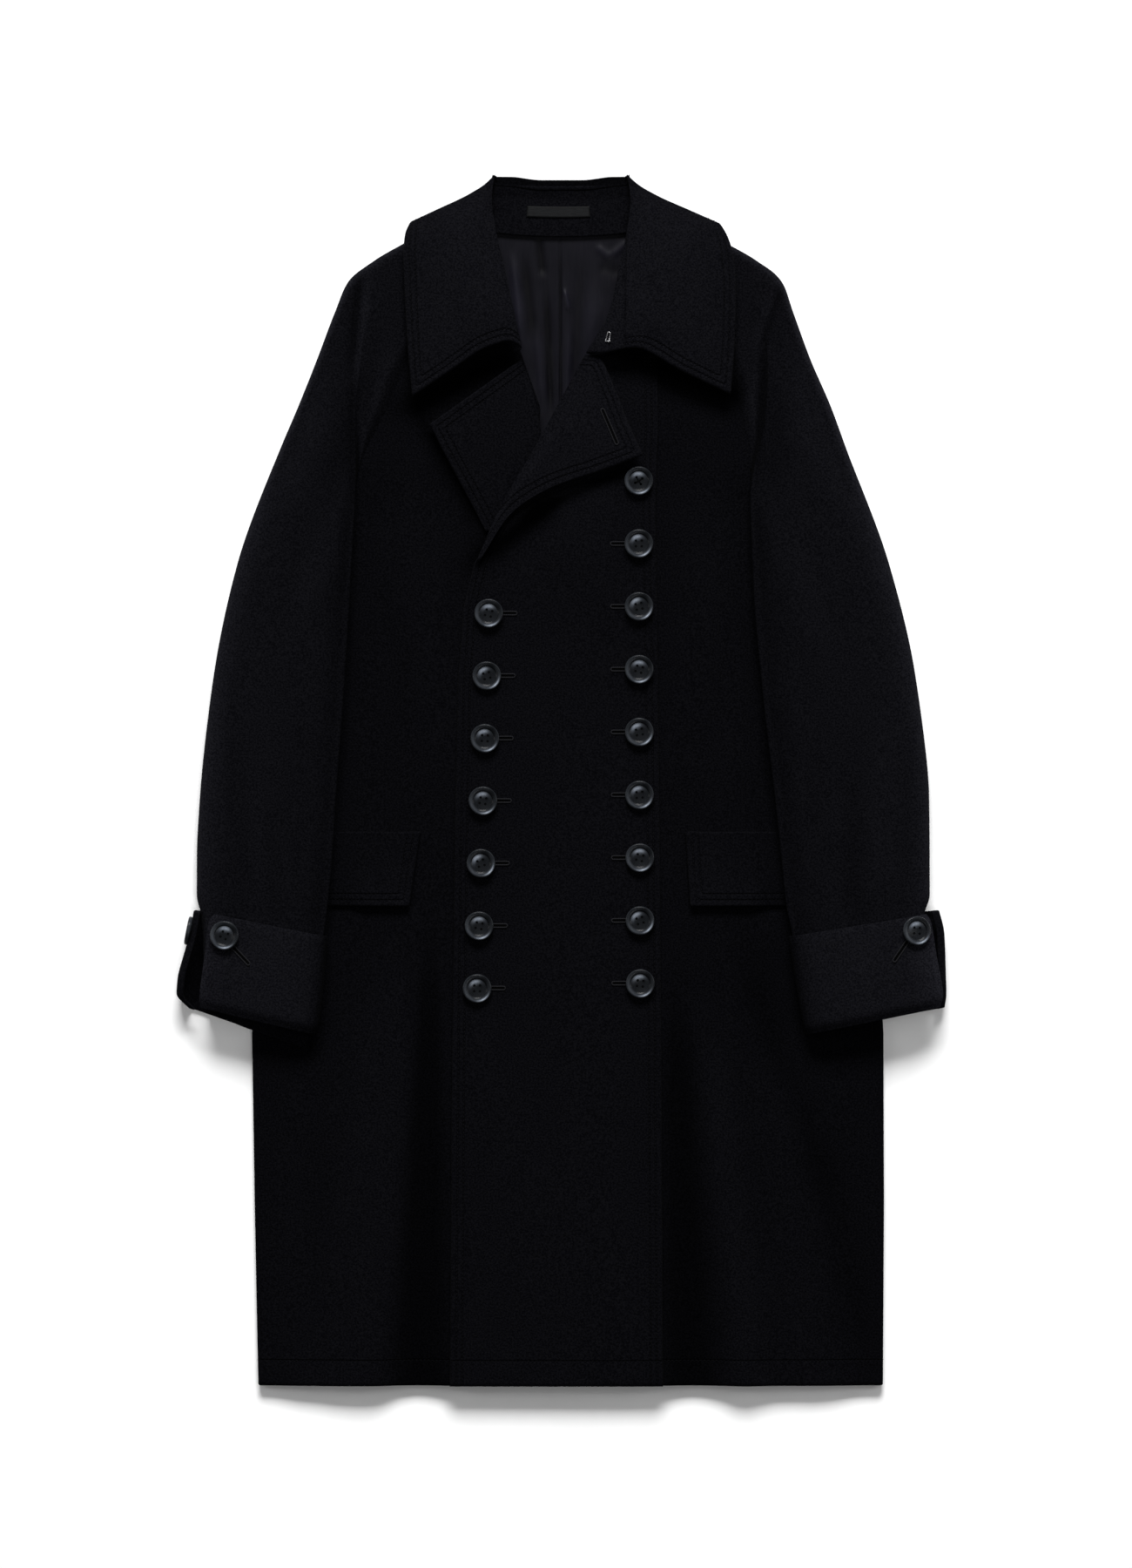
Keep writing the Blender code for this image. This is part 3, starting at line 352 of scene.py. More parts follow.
# Pocket flaps
FLAP_TOP_Y = -47.5
FLAP_FOOT_Y = -118.0
FLAP_LIFT = 3.0
FLAP_LIFT_FROM = 26.0
FlapEdge = namedtuple("FlapEdge", "under_top free_top under_foot free_foot lift_from")
FLAP_RIGHT = FlapEdge(-268.0, -133.0, -268.0, -143.5, -206.0)
FLAP_LEFT = FlapEdge(276.0, 116.5, 276.0, 121.0, 200.0)

# Wire hook at the end of the left collar
HOOK_X = 44.0
HOOK_Y = 416.0
HOOK_Z = 31.0
HOOK_LONG = 9.0
HOOK_WIRE = 0.5
HOOK_TURN = 82.0


def soft(t):
    """Runs from 0 to 1 with level ends."""
    t = np.clip(t, 0.0, 1.0)
    return t * t * (3.0 - 2.0 * t)


def mix(start, end, share):
    """From start, at share 0, to end, at share 1."""
    return start + (end - start) * share


def even(count):
    return np.linspace(0.0, 1.0, count)


def level_slope(before, after):
    """Slope at a row that never carries the curve past it."""
    same = before * after > 0.0
    total = np.where(same, before + after, 1.0)
    return np.where(same, 2.0 * before * after / total, 0.0)


def through(rows, at):
    """Smooth curve through the rows of a table, at places from 0 (first row) to 1 (last)."""
    rows = np.asarray(rows, float)
    last = len(rows) - 1
    place = np.clip(np.asarray(at, float), 0.0, 1.0) * last
    index = np.minimum(place.astype(int), last - 1)
    part = (place - index).reshape(place.shape + (1,) * (rows.ndim - 1))
    padded = np.concatenate([2 * rows[:1] - rows[1:2], rows, 2 * rows[-1:] - rows[-2:-1]])
    step = np.diff(padded, axis=0)
    leave = level_slope(step[index], step[index + 1])
    arrive = level_slope(step[index + 1], step[index + 2])
    square = part * part
    cube = square * part
    return (rows[index] * (2 * cube - 3 * square + 1) + leave * (cube - 2 * square + part)
            + rows[index + 1] * (3 * square - 2 * cube) + arrive * (cube - square))


def by_height(table, y):
    """Columns of a table at heights y, straight between rows."""
    rows = np.asarray(table, float)[::-1]
    y = np.asarray(y, float)
    return [np.interp(y, rows[:, 0], rows[:, column]) for column in range(1, rows.shape[1])]


def loft(sections, across, along):
    """Grid of points through sections, each a row of control points."""
    rows = through(sections, along)
    return np.stack([through(row, across) for row in rows])


def beside_fold(fold, x, y):
    """How far down the line of a fold a place is, as a share, and how far aside, in half widths."""
    run = (y - fold.y0) / (fold.y1 - fold.y0)
    wide = mix(fold.wide0, fold.wide1, np.clip(run, 0.0, 1.0))
    return run, (x - mix(fold.x0, fold.x1, run)) / wide


def fold_height(x, y):
    """Sum of the soft folds at a place on the fronts."""
    total = np.zeros(np.broadcast(x, y).shape)
    for fold in FOLDS:
        run, aside = beside_fold(fold, x, y)
        fade = soft(run / FOLD_FADE_IN) * soft((FOLD_LAST - run) / FOLD_FADE_OUT)
        total += fold.height * fade * np.exp(-aside ** 2)
    return total


def front_top(x, y):
    """Upper side of the fronts, before the roll at the sides."""
    right, _, _, left = by_height(BODY, y)
    inside = np.minimum(x - right, left - x)
    side = mix(SIDE_TOP, CHEST_TOP, soft((inside - ROLL_END) / SIDE_BLEND))
    yoke = soft((y - UNDERARM_Y + YOKE_LEAD) / (YOKE_Y - UNDERARM_Y + YOKE_LEAD))
    calm = soft((inside - FOLD_CALM_FROM) / FOLD_CALM_RUN)
    return mix(side, CHEST_TOP, yoke) + fold_height(x, y) * calm


def front_grid(side, across, along):
    """A front from its side seam to the edge under the panel."""
    y = mix(BODY[0].y, BODY[-1].y, np.asarray(along))
    right, right_centre, left_centre, left = by_height(BODY, y)
    edge, centre = (right, right_centre) if side < 0 else (left, left_centre)
    yoke = soft((y - UNDERARM_Y) / (YOKE_Y - UNDERARM_Y))
    radius = SIDE_TOP / 2.0
    columns = []
    for u in across:
        roll = min(u / ROLL_SHARE, 1.0)
        turn = math.radians(ROLL_FROM + ROLL_TURN * roll)
        rolled_in = radius * (1.0 - math.cos(turn)) if roll < 1.0 else radius
        start = edge - side * mix(rolled_in, (radius + YOKE_ROLL_IN) * roll, yoke)
        x = mix(start, centre, max((u - ROLL_SHARE) / (1.0 - ROLL_SHARE), 0.0))
        level = front_top(x, y)
        z = level if roll >= 1.0 else mix(radius * (1.0 + math.sin(turn)), level, yoke)
        columns.append(np.stack([x, y, z], axis=-1))
    return np.stack(columns, axis=1)


def between_edges(table, across, along):
    """x and y of a sheet between the two edges of a table."""
    y = mix(table[0].y, table[-1].y, np.asarray(along))
    first, last = by_height(table, y)
    x = mix(first[:, None], last[:, None], np.asarray(across))
    return x, np.repeat(y[:, None], len(across), axis=1)


def back_grid(across, along):
    """The back panel, raised over the back of the collar."""
    x, y = between_edges(BACK, across, along)
    upward = soft((y - LIFT_FROM_Y) / (LIFT_TO_Y - LIFT_FROM_Y))
    lift = COLLAR_LIFT * upward * soft((LIFT_HALF - np.abs(x)) / LIFT_SIDE)
    return np.stack([x, y, lift + WOOL], axis=-1)


def panel_top(x, y):
    """Upper side of the front panel: level, higher over the lapels, with a slow swell."""
    left, right = by_height(PANEL, y)
    neck = soft((y - PANEL_NECK_FROM_Y) / PANEL_NECK_RUN_Y) * soft((PANEL_NECK_X - x) / PANEL_NECK_RUN_X)
    arch = np.sin(math.pi * np.clip((x - left) / (right - left), 0.0, 1.0))
    swell = PANEL_SWELL * arch * soft((PANEL_SWELL_Y - y) / PANEL_SWELL_RUN)
    return PANEL_TOP + PANEL_NECK_RISE * neck + swell


def panel_grid(across, along):
    x, y = between_edges(PANEL, across, along)
    return np.stack([x, y, panel_top(x, y)], axis=-1)


def lapel_grid(table, across, along):
    """A lapel from its rolled edge to its free edge."""
    sections = []
    for row in table:
        roll = np.array([row.roll_x, row.roll_y])
        span = np.array([row.edge_x, row.edge_y]) - roll
        bow = np.array([row.bow_x, row.bow_y])
        width = np.linalg.norm(span)
        tuck = span / width * min(LAPEL_TUCK, LAPEL_TUCK_SHARE * width)
        sections.append([
            (*roll, row.roll_z - LAPEL_ROLL_DROP),
            (*(roll + tuck + bow), row.roll_z + LAPEL_ROLL_UP),
            *((*(roll + span * spot.across + bow * spot.bow), mix(row.mid_z, row.edge_z, spot.fall))
              for spot in LAPEL_SPOTS),
        ])
    return loft(sections, across, along)


def collar_wing(table):
    """Sections of one wing of the collar, from its front edge to the shoulder fold."""
    made = []
    for row in table:
        roll = np.array([row.roll_x, row.roll_y])
        span = np.array([row.edge_x, row.edge_y]) - roll
        over = soft((row.roll_z - COLLAR_OPEN_FROM) / COLLAR_OPEN_RUN)
        under = roll + span / np.linalg.norm(span) * COLLAR_FOLD_IN * over
        under[1] -= COLLAR_FOLD_LOW * (1.0 - over)
        near_z = mix(row.roll_z, row.mid_z, COLLAR_NEAR_RISE)
        far_z = mix(row.mid_z, row.edge_z, COLLAR_FAR_FALL)
        bows = ((row.near, near_z), (row.mid, row.mid_z), (row.far, far_z))
        made.append([
            (*under, mix(COLLAR_FOLD_TOP, row.roll_z - COLLAR_INNER_DROP, over)),
            (*roll, row.roll_z),
            *((*(roll + span * share + np.array([0.0, bow])), z)
              for share, (bow, z) in zip(COLLAR_SPOTS, bows)),
            (*(roll + span), row.edge_z),
        ])
    return made


def collar_turned(fold):
    """The section just behind a shoulder fold, down on the floor."""
    move = np.array([-math.copysign(COLLAR_TURN_IN, fold[-1][0]), -2.0 * COLLAR_TURN_IN])
    return [(*(np.array(point[:2]) + move * spot.share), spot.z) for point, spot in zip(fold, COLLAR_TURN)]


def collar_behind(share, side):
    """A section behind the neck, at a share of the way to the middle."""
    half_roll, half_edge = (side * half * (1.0 - share) for half in COLLAR_BACK_HALF)
    roll = np.array([half_roll, mix(*COLLAR_BACK_ROLL, share)])
    edge = np.array([half_edge, mix(*COLLAR_BACK_EDGE, share)])
    return [
        (roll[0], roll[1] - COLLAR_BACK_IN, COLLAR_FOLD_TOP),
        (*roll, COLLAR_BACK_CREST),
        (roll[0] * COLLAR_BACK_OUT, roll[1] - COLLAR_BACK_DOWN, 3.0 * COLLAR_BACK_LOW),
        *((*mix(roll, edge, spot), COLLAR_BACK_LOW) for spot in COLLAR_BACK_SPOTS),
    ]


def collar_sections():
    """Sections of the collar from the right tip round the back to the left tip."""
    halves = []
    for side, table in ((-1, COLLAR_RIGHT), (1, COLLAR_LEFT)):
        wing = collar_wing(table)
        behind = [collar_behind(share, side) for share in (0.0, COLLAR_BACK_MIDDLE)]
        halves.append(wing + [collar_turned(wing[-1])] + behind)
    return halves[0] + halves[1][::-1]


def stand_grid(across, along):
    """The band inside the neck, from the collar fold down to the neck seam."""
    across = np.asarray(across)[None, :] * 2.0 - 1.0
    along = np.asarray(along)[:, None]
    x = mix(STAND_HALF_TOP, STAND_HALF_FOOT, along) * across
    y = mix(STAND_TOP_Y + STAND_DIP * across ** 2, STAND_FOOT_Y + STAND_FOOT_DIP * across ** 2, along)
    z = mix(STAND_TOP_Z, STAND_FOOT_Z, along) + 0.0 * x
    return np.stack([x, y, z], axis=-1)


def label_grid(across, along):
    """A strip of the stand, moved out."""
    share = (LABEL_X + LABEL_HALF * (np.asarray(across) * 2.0 - 1.0)) / (2.0 * STAND_HALF_FOOT) + 0.5
    grid = stand_grid(share, mix(LABEL_FROM, LABEL_TO, np.asarray(along)))
    return grid + np.array([0.0, 0.0, GAP + LABEL_WALL])


def lining_grid(across, along):
    """The lining where the neck shows it, with its folds."""
    across = np.asarray(across)[None, :] * 2.0 - 1.0
    along = np.asarray(along)[:, None]
    x = mix(LINING_HALF_TOP, LINING_HALF_FOOT, soft(along)) * across
    y = mix(LINING_TOP_Y, LINING_FOOT_Y, along) + 0.0 * x
    upward = soft((y - LINING_LIFT_FROM_Y) / (LINING_LIFT_TO_Y - LINING_LIFT_FROM_Y))
    rest = COLLAR_LIFT * upward + WOOL + 2.0 * GAP + SATIN
    ripple = sum(fold.height * np.exp(-((x - fold.x) / fold.wide) ** 2) for fold in LINING_FOLDS)
    return np.stack([x, y, rest + ripple * soft(along * LINING_FOLD_START)], axis=-1)


def sleeve_ends(row, side):
    """Outer and inner end of a section of a sleeve or cuff."""
    name = "right" if side < 0 else "left"
    outer = np.array([getattr(row, name + "_outer"), row.y_outer])
    return outer, np.array([getattr(row, name + "_inner"), row.y_inner])


def section(ends, profile):
    """Points of a section from shares of its width and heights."""
    return [(*mix(*ends, share), z) for share, z in profile]


def sleeve_sections(side):
    """Upper half of a sleeve: rolled at the outer fold, and rolled under or seamed at the inner one."""
    sections = []
    for index, row in enumerate(SLEEVE):
        free = index > ARMPIT_ROW
        drop = row.crown - SHOULDER_SEAM_TOP
        high = row.crown - row.floor
        fall = row.crease
        low = SLEEVE_SEAT + SLEEVE_INNER_UP
        side_z = 0.5 * (low + row.crown) if free else SHOULDER_SEAM_TOP + SHOULDER_SIDE * drop
        foot = (1.0 - SLEEVE_TUCK, SLEEVE_SEAT - SLEEVE_FOOT_DOWN) if free else (1.0, SHOULDER_SEAM_TOP)
        sections.append(section(sleeve_ends(row, side), [
            (SLEEVE_TUCK, row.floor),
            (0.0, row.floor + 0.30 * high),
            (0.035, 0.5 * (row.crown + row.floor) + 0.22 * high),
            (0.16, row.crown - 0.06 * high),
            (0.42 * fall + 0.08, row.crown),
            (0.82 * fall, row.crown - 0.10 * drop),
            (0.955 * fall, row.crown - 0.42 * drop),
            (fall, side_z),
            foot,
        ]))
    return sections


def sleeve_back_grid(side, across, along):
    """Under half of a sleeve: on the back panel at the shoulder, over the front below the armpit."""
    sections = []
    for index, row in enumerate(SLEEVE):
        end = SLEEVE_BACK_END if index > ARMPIT_ROW else SHOULDER_BACK_END
        seat = (SLEEVE_SEAT if index >= ARMPIT_ROW else row.floor + SHOULDER_BACK_RISE) + WOOL
        low = max(row.floor, SLEEVE_LOWEST) + WOOL
        sections.append(section(sleeve_ends(row, side), [
            (SLEEVE_BACK_FROM, low),
            (0.16, mix(low, seat, 0.35)),
            (0.34, mix(low, seat, 0.84)),
            (0.60, mix(low, seat, 0.96)),
            (end, seat),
        ]))
    return loft(sections, across, along)


def cuff_front_grid(side, across, along):
    """The upper half of a cuff, from its split round to the inner side."""
    sections = []
    for row in CUFF_FRONT:
        split = SPLIT_EDGE[side]
        top = row.right_top if side < 0 else row.left_top
        sections.append(section(sleeve_ends(row, side), [
            (0.0, split * top),
            (0.07, (0.4 * split + 0.6) * top),
            (0.24, top),
            (0.55, top),
            (0.84, 0.95 * top),
            (0.965, 0.80 * top),
            (1.0, 0.62 * top),
            (0.992, SLEEVE_SEAT + CUFF_INNER_UP),
        ]))
    return loft(sections, across, along)


def cuff_back_grid(side, across, along):
    """The under half of a cuff: up at its split, along the floor, and over the edge of the body."""
    sections = []
    body = BODY_UNDER_CUFF[side]
    for index, row in enumerate(CUFF_BACK):
        outer, inner = sleeve_ends(row, side)
        inner[1] -= CUFF_SLANT[side] * (index / (len(CUFF_BACK) - 1)) ** 2
        top = row.right_top if side < 0 else row.left_top
        sections.append(section((outer, inner), [
            (0.055, top),
            (0.015, 0.86 * top),
            (0.0, 0.5 * top),
            (0.035, 1.2),
            (0.14, 0.4),
            (body - 0.16, 2.2),
            (body - 0.02, 8.8),
            (body + 0.06, 9.8),
            (1.0, 10.9),
        ]))
    return loft(sections, across, along)


def flap_grid(edge, across, along):
    """A pocket flap on its front, lifted a little at its free corner."""
    across = np.asarray(across)[None, :]
    along = np.asarray(along)[:, None]
    x = mix(mix(edge.under_top, edge.under_foot, along), mix(edge.free_top, edge.free_foot, along), across)
    y = mix(FLAP_TOP_Y, FLAP_FOOT_Y, along) + 0.0 * x
    towards = math.copysign(1.0, edge.free_top - edge.under_top)
    raised = soft((x - edge.lift_from) * towards / FLAP_LIFT_FROM)
    z = front_top(x, y) + 2.0 * GAP + WOOL + FLAP_LIFT * raised * along ** 2
    return np.stack([x, y, z], axis=-1)


# Small creases of the cloth on top of the folds of the forms: ridges above zero, troughs below.
# The shadow group moves nothing: its creases are painted shadow on the cloth beside and under the collar and
# the lapels.
CREASE = "x0 y0 x1 y1 wide height"
CREASES = {
    "body": rows_of(
        CREASE,
        (-127, -150, -160, -580, 9, -1.2),
        (-140, -190, -178, -580, 16, 1.6),
        (124, -215, 156, -580, 10, -1),
        (136, -225, 172, -580, 15, 1.5),
        (152, -132, 258, -411, 14, -1.2),
        (-236, -300, -222, -520, 20, -0.9),
        (-172, 250, -140, 20, 16, -0.8),
        (168, 240, 140, 10, 18, -0.8),
        (222, -260, 262, -560, 20, -0.8),
    ),
    "panel": rows_of(
        CREASE,
        (-30, 120, -44, -300, 26, -0.5),
        (34, 60, 28, -420, 30, 0.6),
        (-20, -260, 10, -560, 24, -0.4),
    ),
    "sleeve_right": rows_of(
        CREASE,
        (-299, 40, -288, -130, 12, -1.5),
        (-270, 0, -262, -130, 10, -1.2),
        (-318, 120, -316, -90, 13, 1.2),
        (-212, 330, -262, 130, 20, -1.4),
        (-200, 240, -240, 150, 16, 1.2),
        (-224, 80, -246, -90, 14, -1),
        (-182, 420, -214, 300, 16, 0.9),
        (-150, 425, -184, 320, 6, 1.3),
        (-185, 498, -195, 384, 6, -3.4),
        (-195, 402, -192, 250, 5.5, -2.6),
    ),
    "sleeve_left": rows_of(
        CREASE,
        (266, 40, 262, -128, 12, -1.8),
        (284, 20, 286, -128, 11, 1.2),
        (322, 130, 316, -100, 14, -1.2),
        (214, 320, 256, 120, 22, -1.3),
        (206, 230, 234, 120, 16, 1.1),
        (226, 60, 240, -90, 13, -1),
        (186, 420, 214, 310, 16, 0.9),
        (212, 494, 186, 412, 5, -3.2),
        (189, 428, 179, 280, 5, -2.6),
    ),
    "collar": rows_of(
        CREASE,
        (-112, 470, -84, 392, 15, -0.7),
        (-92, 520, -120, 430, 18, 0.6),
        (118, 468, 88, 398, 16, -0.7),
        (98, 520, 130, 430, 18, 0.6),
    ),
    # Painted shadow under the collar wings, and beside and under the lapels
    "painted_shadows": rows_of(
        CREASE,
        (-178, 338, -36, 406, 13, -0.85),
        (0, 424, 190, 354, 13, -0.85),
        (-102, 190, -6, 263, 13, -0.9),
        (-50, 243, 66, 296, 7, -0.75),
        (-146, 366, -74, 236, 9, -0.6),
    ),
    "lining": rows_of(
        CREASE,
        (-47, 505, -38, 415, 4.5, 2.25),
        (-37, 505, -27, 420, 5, -1.35),
        (-22, 516, -18, 478, 4, -1.5),
        (-15, 475, -10, 350, 3.2, -1.95),
        (-25, 440, -18, 360, 4, 1.05),
        (-1.5, 530, -1, 340, 1.4, -1.65),
        (2, 466, 7, 444, 2.2, 1.95),
        (8, 445, 5, 350, 3.5, 1.2),
        (20, 505, 12, 380, 6, -0.9),
        (31, 506, 46, 493, 3.6, 1.2),
        (44, 493, 62, 508, 3.6, 1.2),
        (32, 487, 54, 480, 6, -0.8),
        (32, 475, 22, 385, 8, 1.05),
    ),
}

# Flat-bottomed hollows of the skirt that widen towards the hem
WEDGES = rows_of(
    "x0 y0 x1 y1 wide0 wide1 height",
    (-122, -110, -134, -600, 5, 30, -2.2),
    (106, -150, 132, -600, 8, 36, -2.2),
)

# Slow unevenness that all the upper layers share: wave lengths across and along, turn, height
WAVES = rows_of(
    "across along turn height",
    (310, 420, 0.6, 0.45),
    (170, 260, 2.1, 0.25),
    (96, 150, 4, 0.12),
)

# Painted shade of the cloth by height: darker low between the layers, lighter on top
SHADE_BY_HEIGHT = rows_of(
    "z share",
    (7, 0.34),
    (9.5, 0.42),
    (12.5, 0.74),
    (16, 0.95),
    (20, 1.05),
    (26, 1.22),
    (34, 1.45),
)

# The turned button: rings from the middle of its back to the middle of its dish, and the painted light and
# shade of its rim
BUTTON_PROFILE = rows_of(
    "radius height",
    (0, 0.3),
    (8, 0.3),
    (12, 0.45),
    (13.1, 1.1),
    (13.5, 2.3),
    (13.4, 3.6),
    (13.05, 4.15),
    (12.5, 4.5),
    (11.8, 4.6),
    (10.9, 4.5),
    (10, 4.3),
    (9.4, 4.05),
    (9, 3.7),
    (8.7, 3.42),
    (8.1, 3.26),
    (6.6, 2.95),
    (4.4, 2.68),
    (2.2, 2.52),
    (0, 2.47),
)
# Painted shade in the groove round the dish, a lighter rim and a painted highlight at its outer edge
RIM_PAINTED_LIGHT = rows_of(
    "radius share",
    (8.7, 1),
    (9, 0.7),
    (10, 1.5),
    (11.8, 1.7),
    (12.5, 1.2),
    (13.3, 2.4),
)

# Painted highlights and shade of the horn, as if lit from one side: distance from the middle, half width,
# angle in degrees, half spread and strength
BUTTON_PAINTED_LIGHT = rows_of(
    "radius reach angle spread share",
    (6.9, 1.9, 112, 40, 38),
    (12, 0.8, 300, 27, 44),
    (11.2, 1.8, 225, 62, 3),
    (11, 2.2, 55, 60, -0.9),
)
DISH_R = 8.85
BUTTON_RINGS = 48
SHARP_ANGLE = 38.0

# Drill of the holes, thread crossed over the dish, and thread seen end on in the holes
DRILL_FROM = -1.0
DRILL_TO = 6.0
DRILL_SIDES = 16
THREAD_R = 0.26
THREAD_UP = 0.55
THREAD_OVER = 0.12
THREAD_DOWN = 1.5
THREAD_BEND = 6
THREAD_POINTS = 13
THREAD_SIDES = 8
DISC_SIDES = 12
DISC_R = 0.5 * HOLE_D
DISC_SUNK = 0.12

# Raglan seam: rows of the sleeve that it runs along, its reach on the sleeve and on the front, and its ridge
SEAM_FROM = 18
SEAM_TO = 73
SEAM_FADE = 30
SEAM_IN = 5.0
SEAM_OUT = 13.0
SEAM_RIDGE = 0.35
SEAM_SUNK = 0.12
SEAM_LEAST = 0.1
SEAM_COLUMNS = 17

# How the creases, the hollows and the waves fade and turn
CREASE_FADE_IN = 0.4
CREASE_LAST = 1.12
CREASE_FADE_OUT = 0.3
WEDGE_FADE_IN = 0.3
WAVE_TURN = 1.7

# Topstitching: distances from an edge, the thread and its pitch
STITCH_ROWS = (6.0, 11.6)
HEM_ROW = 24.0
STITCH_PITCH = 3.8
STITCH_LONG = 2.9
STITCH_START = 0.12
STITCH_R = 0.34
STITCH_SIDES = 6
StitchRing = namedtuple("StitchRing", "size rise")
STITCH_END = StitchRing(0.35, -0.12)
STITCH_MIDDLE = StitchRing(1.0, 0.12)
STITCH_RINGS = [STITCH_END, STITCH_MIDDLE, STITCH_MIDDLE, STITCH_END]

# Buttonholes: where the slit starts and ends, its cord, and the points along both
HOLE_START = 2.0
HOLE_VISIBLE = 25.0
HOLE_CORD = 0.68
HOLE_HALF = 1.65
HOLE_TWIST = 0.22
HOLE_UP = 0.15
HOLE_POINTS = 26
HOLE_BEND_POINTS = 7
CORD_SIDES = 6
SLIT_HALF = 0.95
SLIT_UP = 0.12
SLIT_POINTS = 16
Hole = namedtuple("Hole", "piece x0 y0 x1 y1")
HOLES = [
    Hole("lapel_left", 38.5, 347.7, 51.7, 317.3),
    Hole("cuff_right_front", -312.0, -151.5, -293.6, -171.0),
    Hole("cuff_left_front", 327.0, -146.0, 312.0, -168.0),
]

# Edges of the shells, and the soft slope beside the raglan seam
EDGE_ROUND = 0.5
EDGE_MOST = 0.4
FLOOR_CLEAR = 0.1
LEAST = 1e-6
NO_SEAM = 99.0
SLOPE_FROM = 0.22
SLOPE_FADE = 0.14
SLOPE_WIDE = 15.0
SLOPE_LOW_Y = 235.0
SLOPE_RISE = 60.0
# How far the painted light and shade of a sleeve or cuff rise and fall as it faces out or in
LEAN_OUT = 1.3
LEAN_IN = 0.75

# Seam between the left collar and its facing
Seam = namedtuple("Seam", "x0 y0 x1 y1")
FACING_SEAM = Seam(60.5, 514.0, 59.0, 407.0)

# Where a point of the cloth is looked up: faces turned up at least this far, the nearest few by weight
FACING_UP = 0.2
NEAR_COUNT = 4
NEAR_SOFT = 1e-3
FAR_AWAY = 1e9

SHADE_LEAST = 0.06
SIDES = {(0, 0): "top", (0, -1): "foot", (1, 0): "start", (1, -1): "end"}
SHEETS = {}
STITCHES = []
HOLE_PARTS = []


def slow_waves(x, y):
    total = np.zeros(np.shape(x))
    for wave in WAVES:
        total += wave.height * np.sin(2.0 * math.pi * x / wave.across + wave.turn) \
            * np.cos(2.0 * math.pi * y / wave.along + WAVE_TURN * wave.turn)
    return total


def beside_line(line, x, y):
    """Distances along a straight line and aside from it, and the line's length."""
    way = np.array([line.x1 - line.x0, line.y1 - line.y0])
    length = np.linalg.norm(way)
    way = way / length
    run = (x - line.x0) * way[0] + (y - line.y0) * way[1]
    aside = (x - line.x0) * way[1] - (y - line.y0) * way[0]
    return run, aside, length


def crease_height(group, x, y):
    """Sum of the creases of a group, each fading at both ends."""
    total = np.zeros(np.shape(x))
    for crease in CREASES.get(group, []):
        run, aside, length = beside_line(crease, x, y)
        share = run / length
        fade = soft(share / CREASE_FADE_IN) * soft((CREASE_LAST - share) / CREASE_FADE_OUT)
        total += crease.height * fade * np.exp(-(aside / crease.wide) ** 2)
    return total


def wedge_height(x, y):
    """Sum of the hollows of the skirt."""
    total = np.zeros(np.shape(x))
    for wedge in WEDGES:
        run, aside = beside_fold(wedge, x, y)
        total += wedge.height * soft(run / WEDGE_FADE_IN) * np.exp(-aside ** 4)
    return total


def uneven(grid, group, share=1.0):
    """The grid with its creases and the shared unevenness, moved up or down."""
    x, y = grid[..., 0], grid[..., 1]
    moved = grid.copy()
    moved[..., 2] += share * slow_waves(x, y) + crease_height(group, x, y)
    if group == "body":
        moved[..., 2] += wedge_height(x, y)
    moved[..., 2] = np.maximum(moved[..., 2], FLOOR_CLEAR)
    return moved


def fold_level(grid):
    """Height of the fronts if they lay level and only their folds rose and fell; their painted shade follows
    it.
    """
    x, y = grid[..., 0], grid[..., 1]
    return CHEST_TOP + fold_height(x, y) + crease_height("body", x, y) + wedge_height(x, y)


def softened(grid):
    """A sleeve whose step beside the raglan seam has become a soft slope. Both its edges stay in place."""
    columns = even(grid.shape[1])
    inside = soft((columns - SLOPE_FROM) / SLOPE_FADE) * soft((1.0 - columns) / SLOPE_FADE)
    made = grid.copy()
    for row in made:
        near = np.exp(-((row[:, None, 0] - row[None, :, 0]) / SLOPE_WIDE) ** 2) * (columns > SLOPE_FROM)
        level = (near * row[None, :, 2]).sum(axis=1) / np.maximum(near.sum(axis=1), LEAST)
        share = inside * soft((row[:, 1] - SLOPE_LOW_Y) / SLOPE_RISE)
        row[:, 2] += share * (level - row[:, 2])
    return made


def normals(grid, out):
    normal = np.cross(np.gradient(grid, axis=0), np.gradient(grid, axis=1)) * out
    return normal / np.linalg.norm(normal, axis=-1, keepdims=True)


def painted_shade_at(height):
    """Painted shade of the cloth at a height."""
    return np.interp(height, [row.z for row in SHADE_BY_HEIGHT], [row.share for row in SHADE_BY_HEIGHT])


def shadow_of(group, x, y):
    """What a group of creases leaves of the light."""
    return np.maximum(1.0 + crease_height(group, x, y), SHADE_LEAST)


def leaning(grid, out, side, level):
    """Painted light and shade of a sleeve or cuff: lighter where it faces the pale floor, darker where it
    faces the body.
    """
    lean = side * normals(grid, out)[..., 0]
    return painted_shade_at(level) * np.where(lean > 0.0, 1.0 + LEAN_OUT * lean, 1.0 + LEAN_IN * lean)


def seam_distance(line, x, y):
    """Signed distance from a straight seam, and far away beyond its ends."""
    run, aside, length = beside_line(line, x, y)
    return np.where((run >= 0.0) & (run <= length), aside, NO_SEAM)


def inward(grid, side):
    """Distance over the cloth from one side of a grid, for each of its points."""
    axis = 0 if side in ("top", "foot") else 1
    step = np.linalg.norm(np.diff(grid, axis=axis), axis=-1)
    zero = np.zeros_like(np.take(step, [0], axis=axis))
    run = np.cumsum(np.concatenate([zero, step], axis=axis), axis=axis)
    if side in ("foot", "end"):
        run = np.take(run, [-1], axis=axis) - run
    return run


def rim_of(rows, columns):
    """Numbers of the points round a grid."""
    index = np.arange(rows * columns).reshape(rows, columns)
    return np.concatenate([index[:, 0], index[-1, 1:], index[-2::-1, -1], index[0, -2:0:-1]])


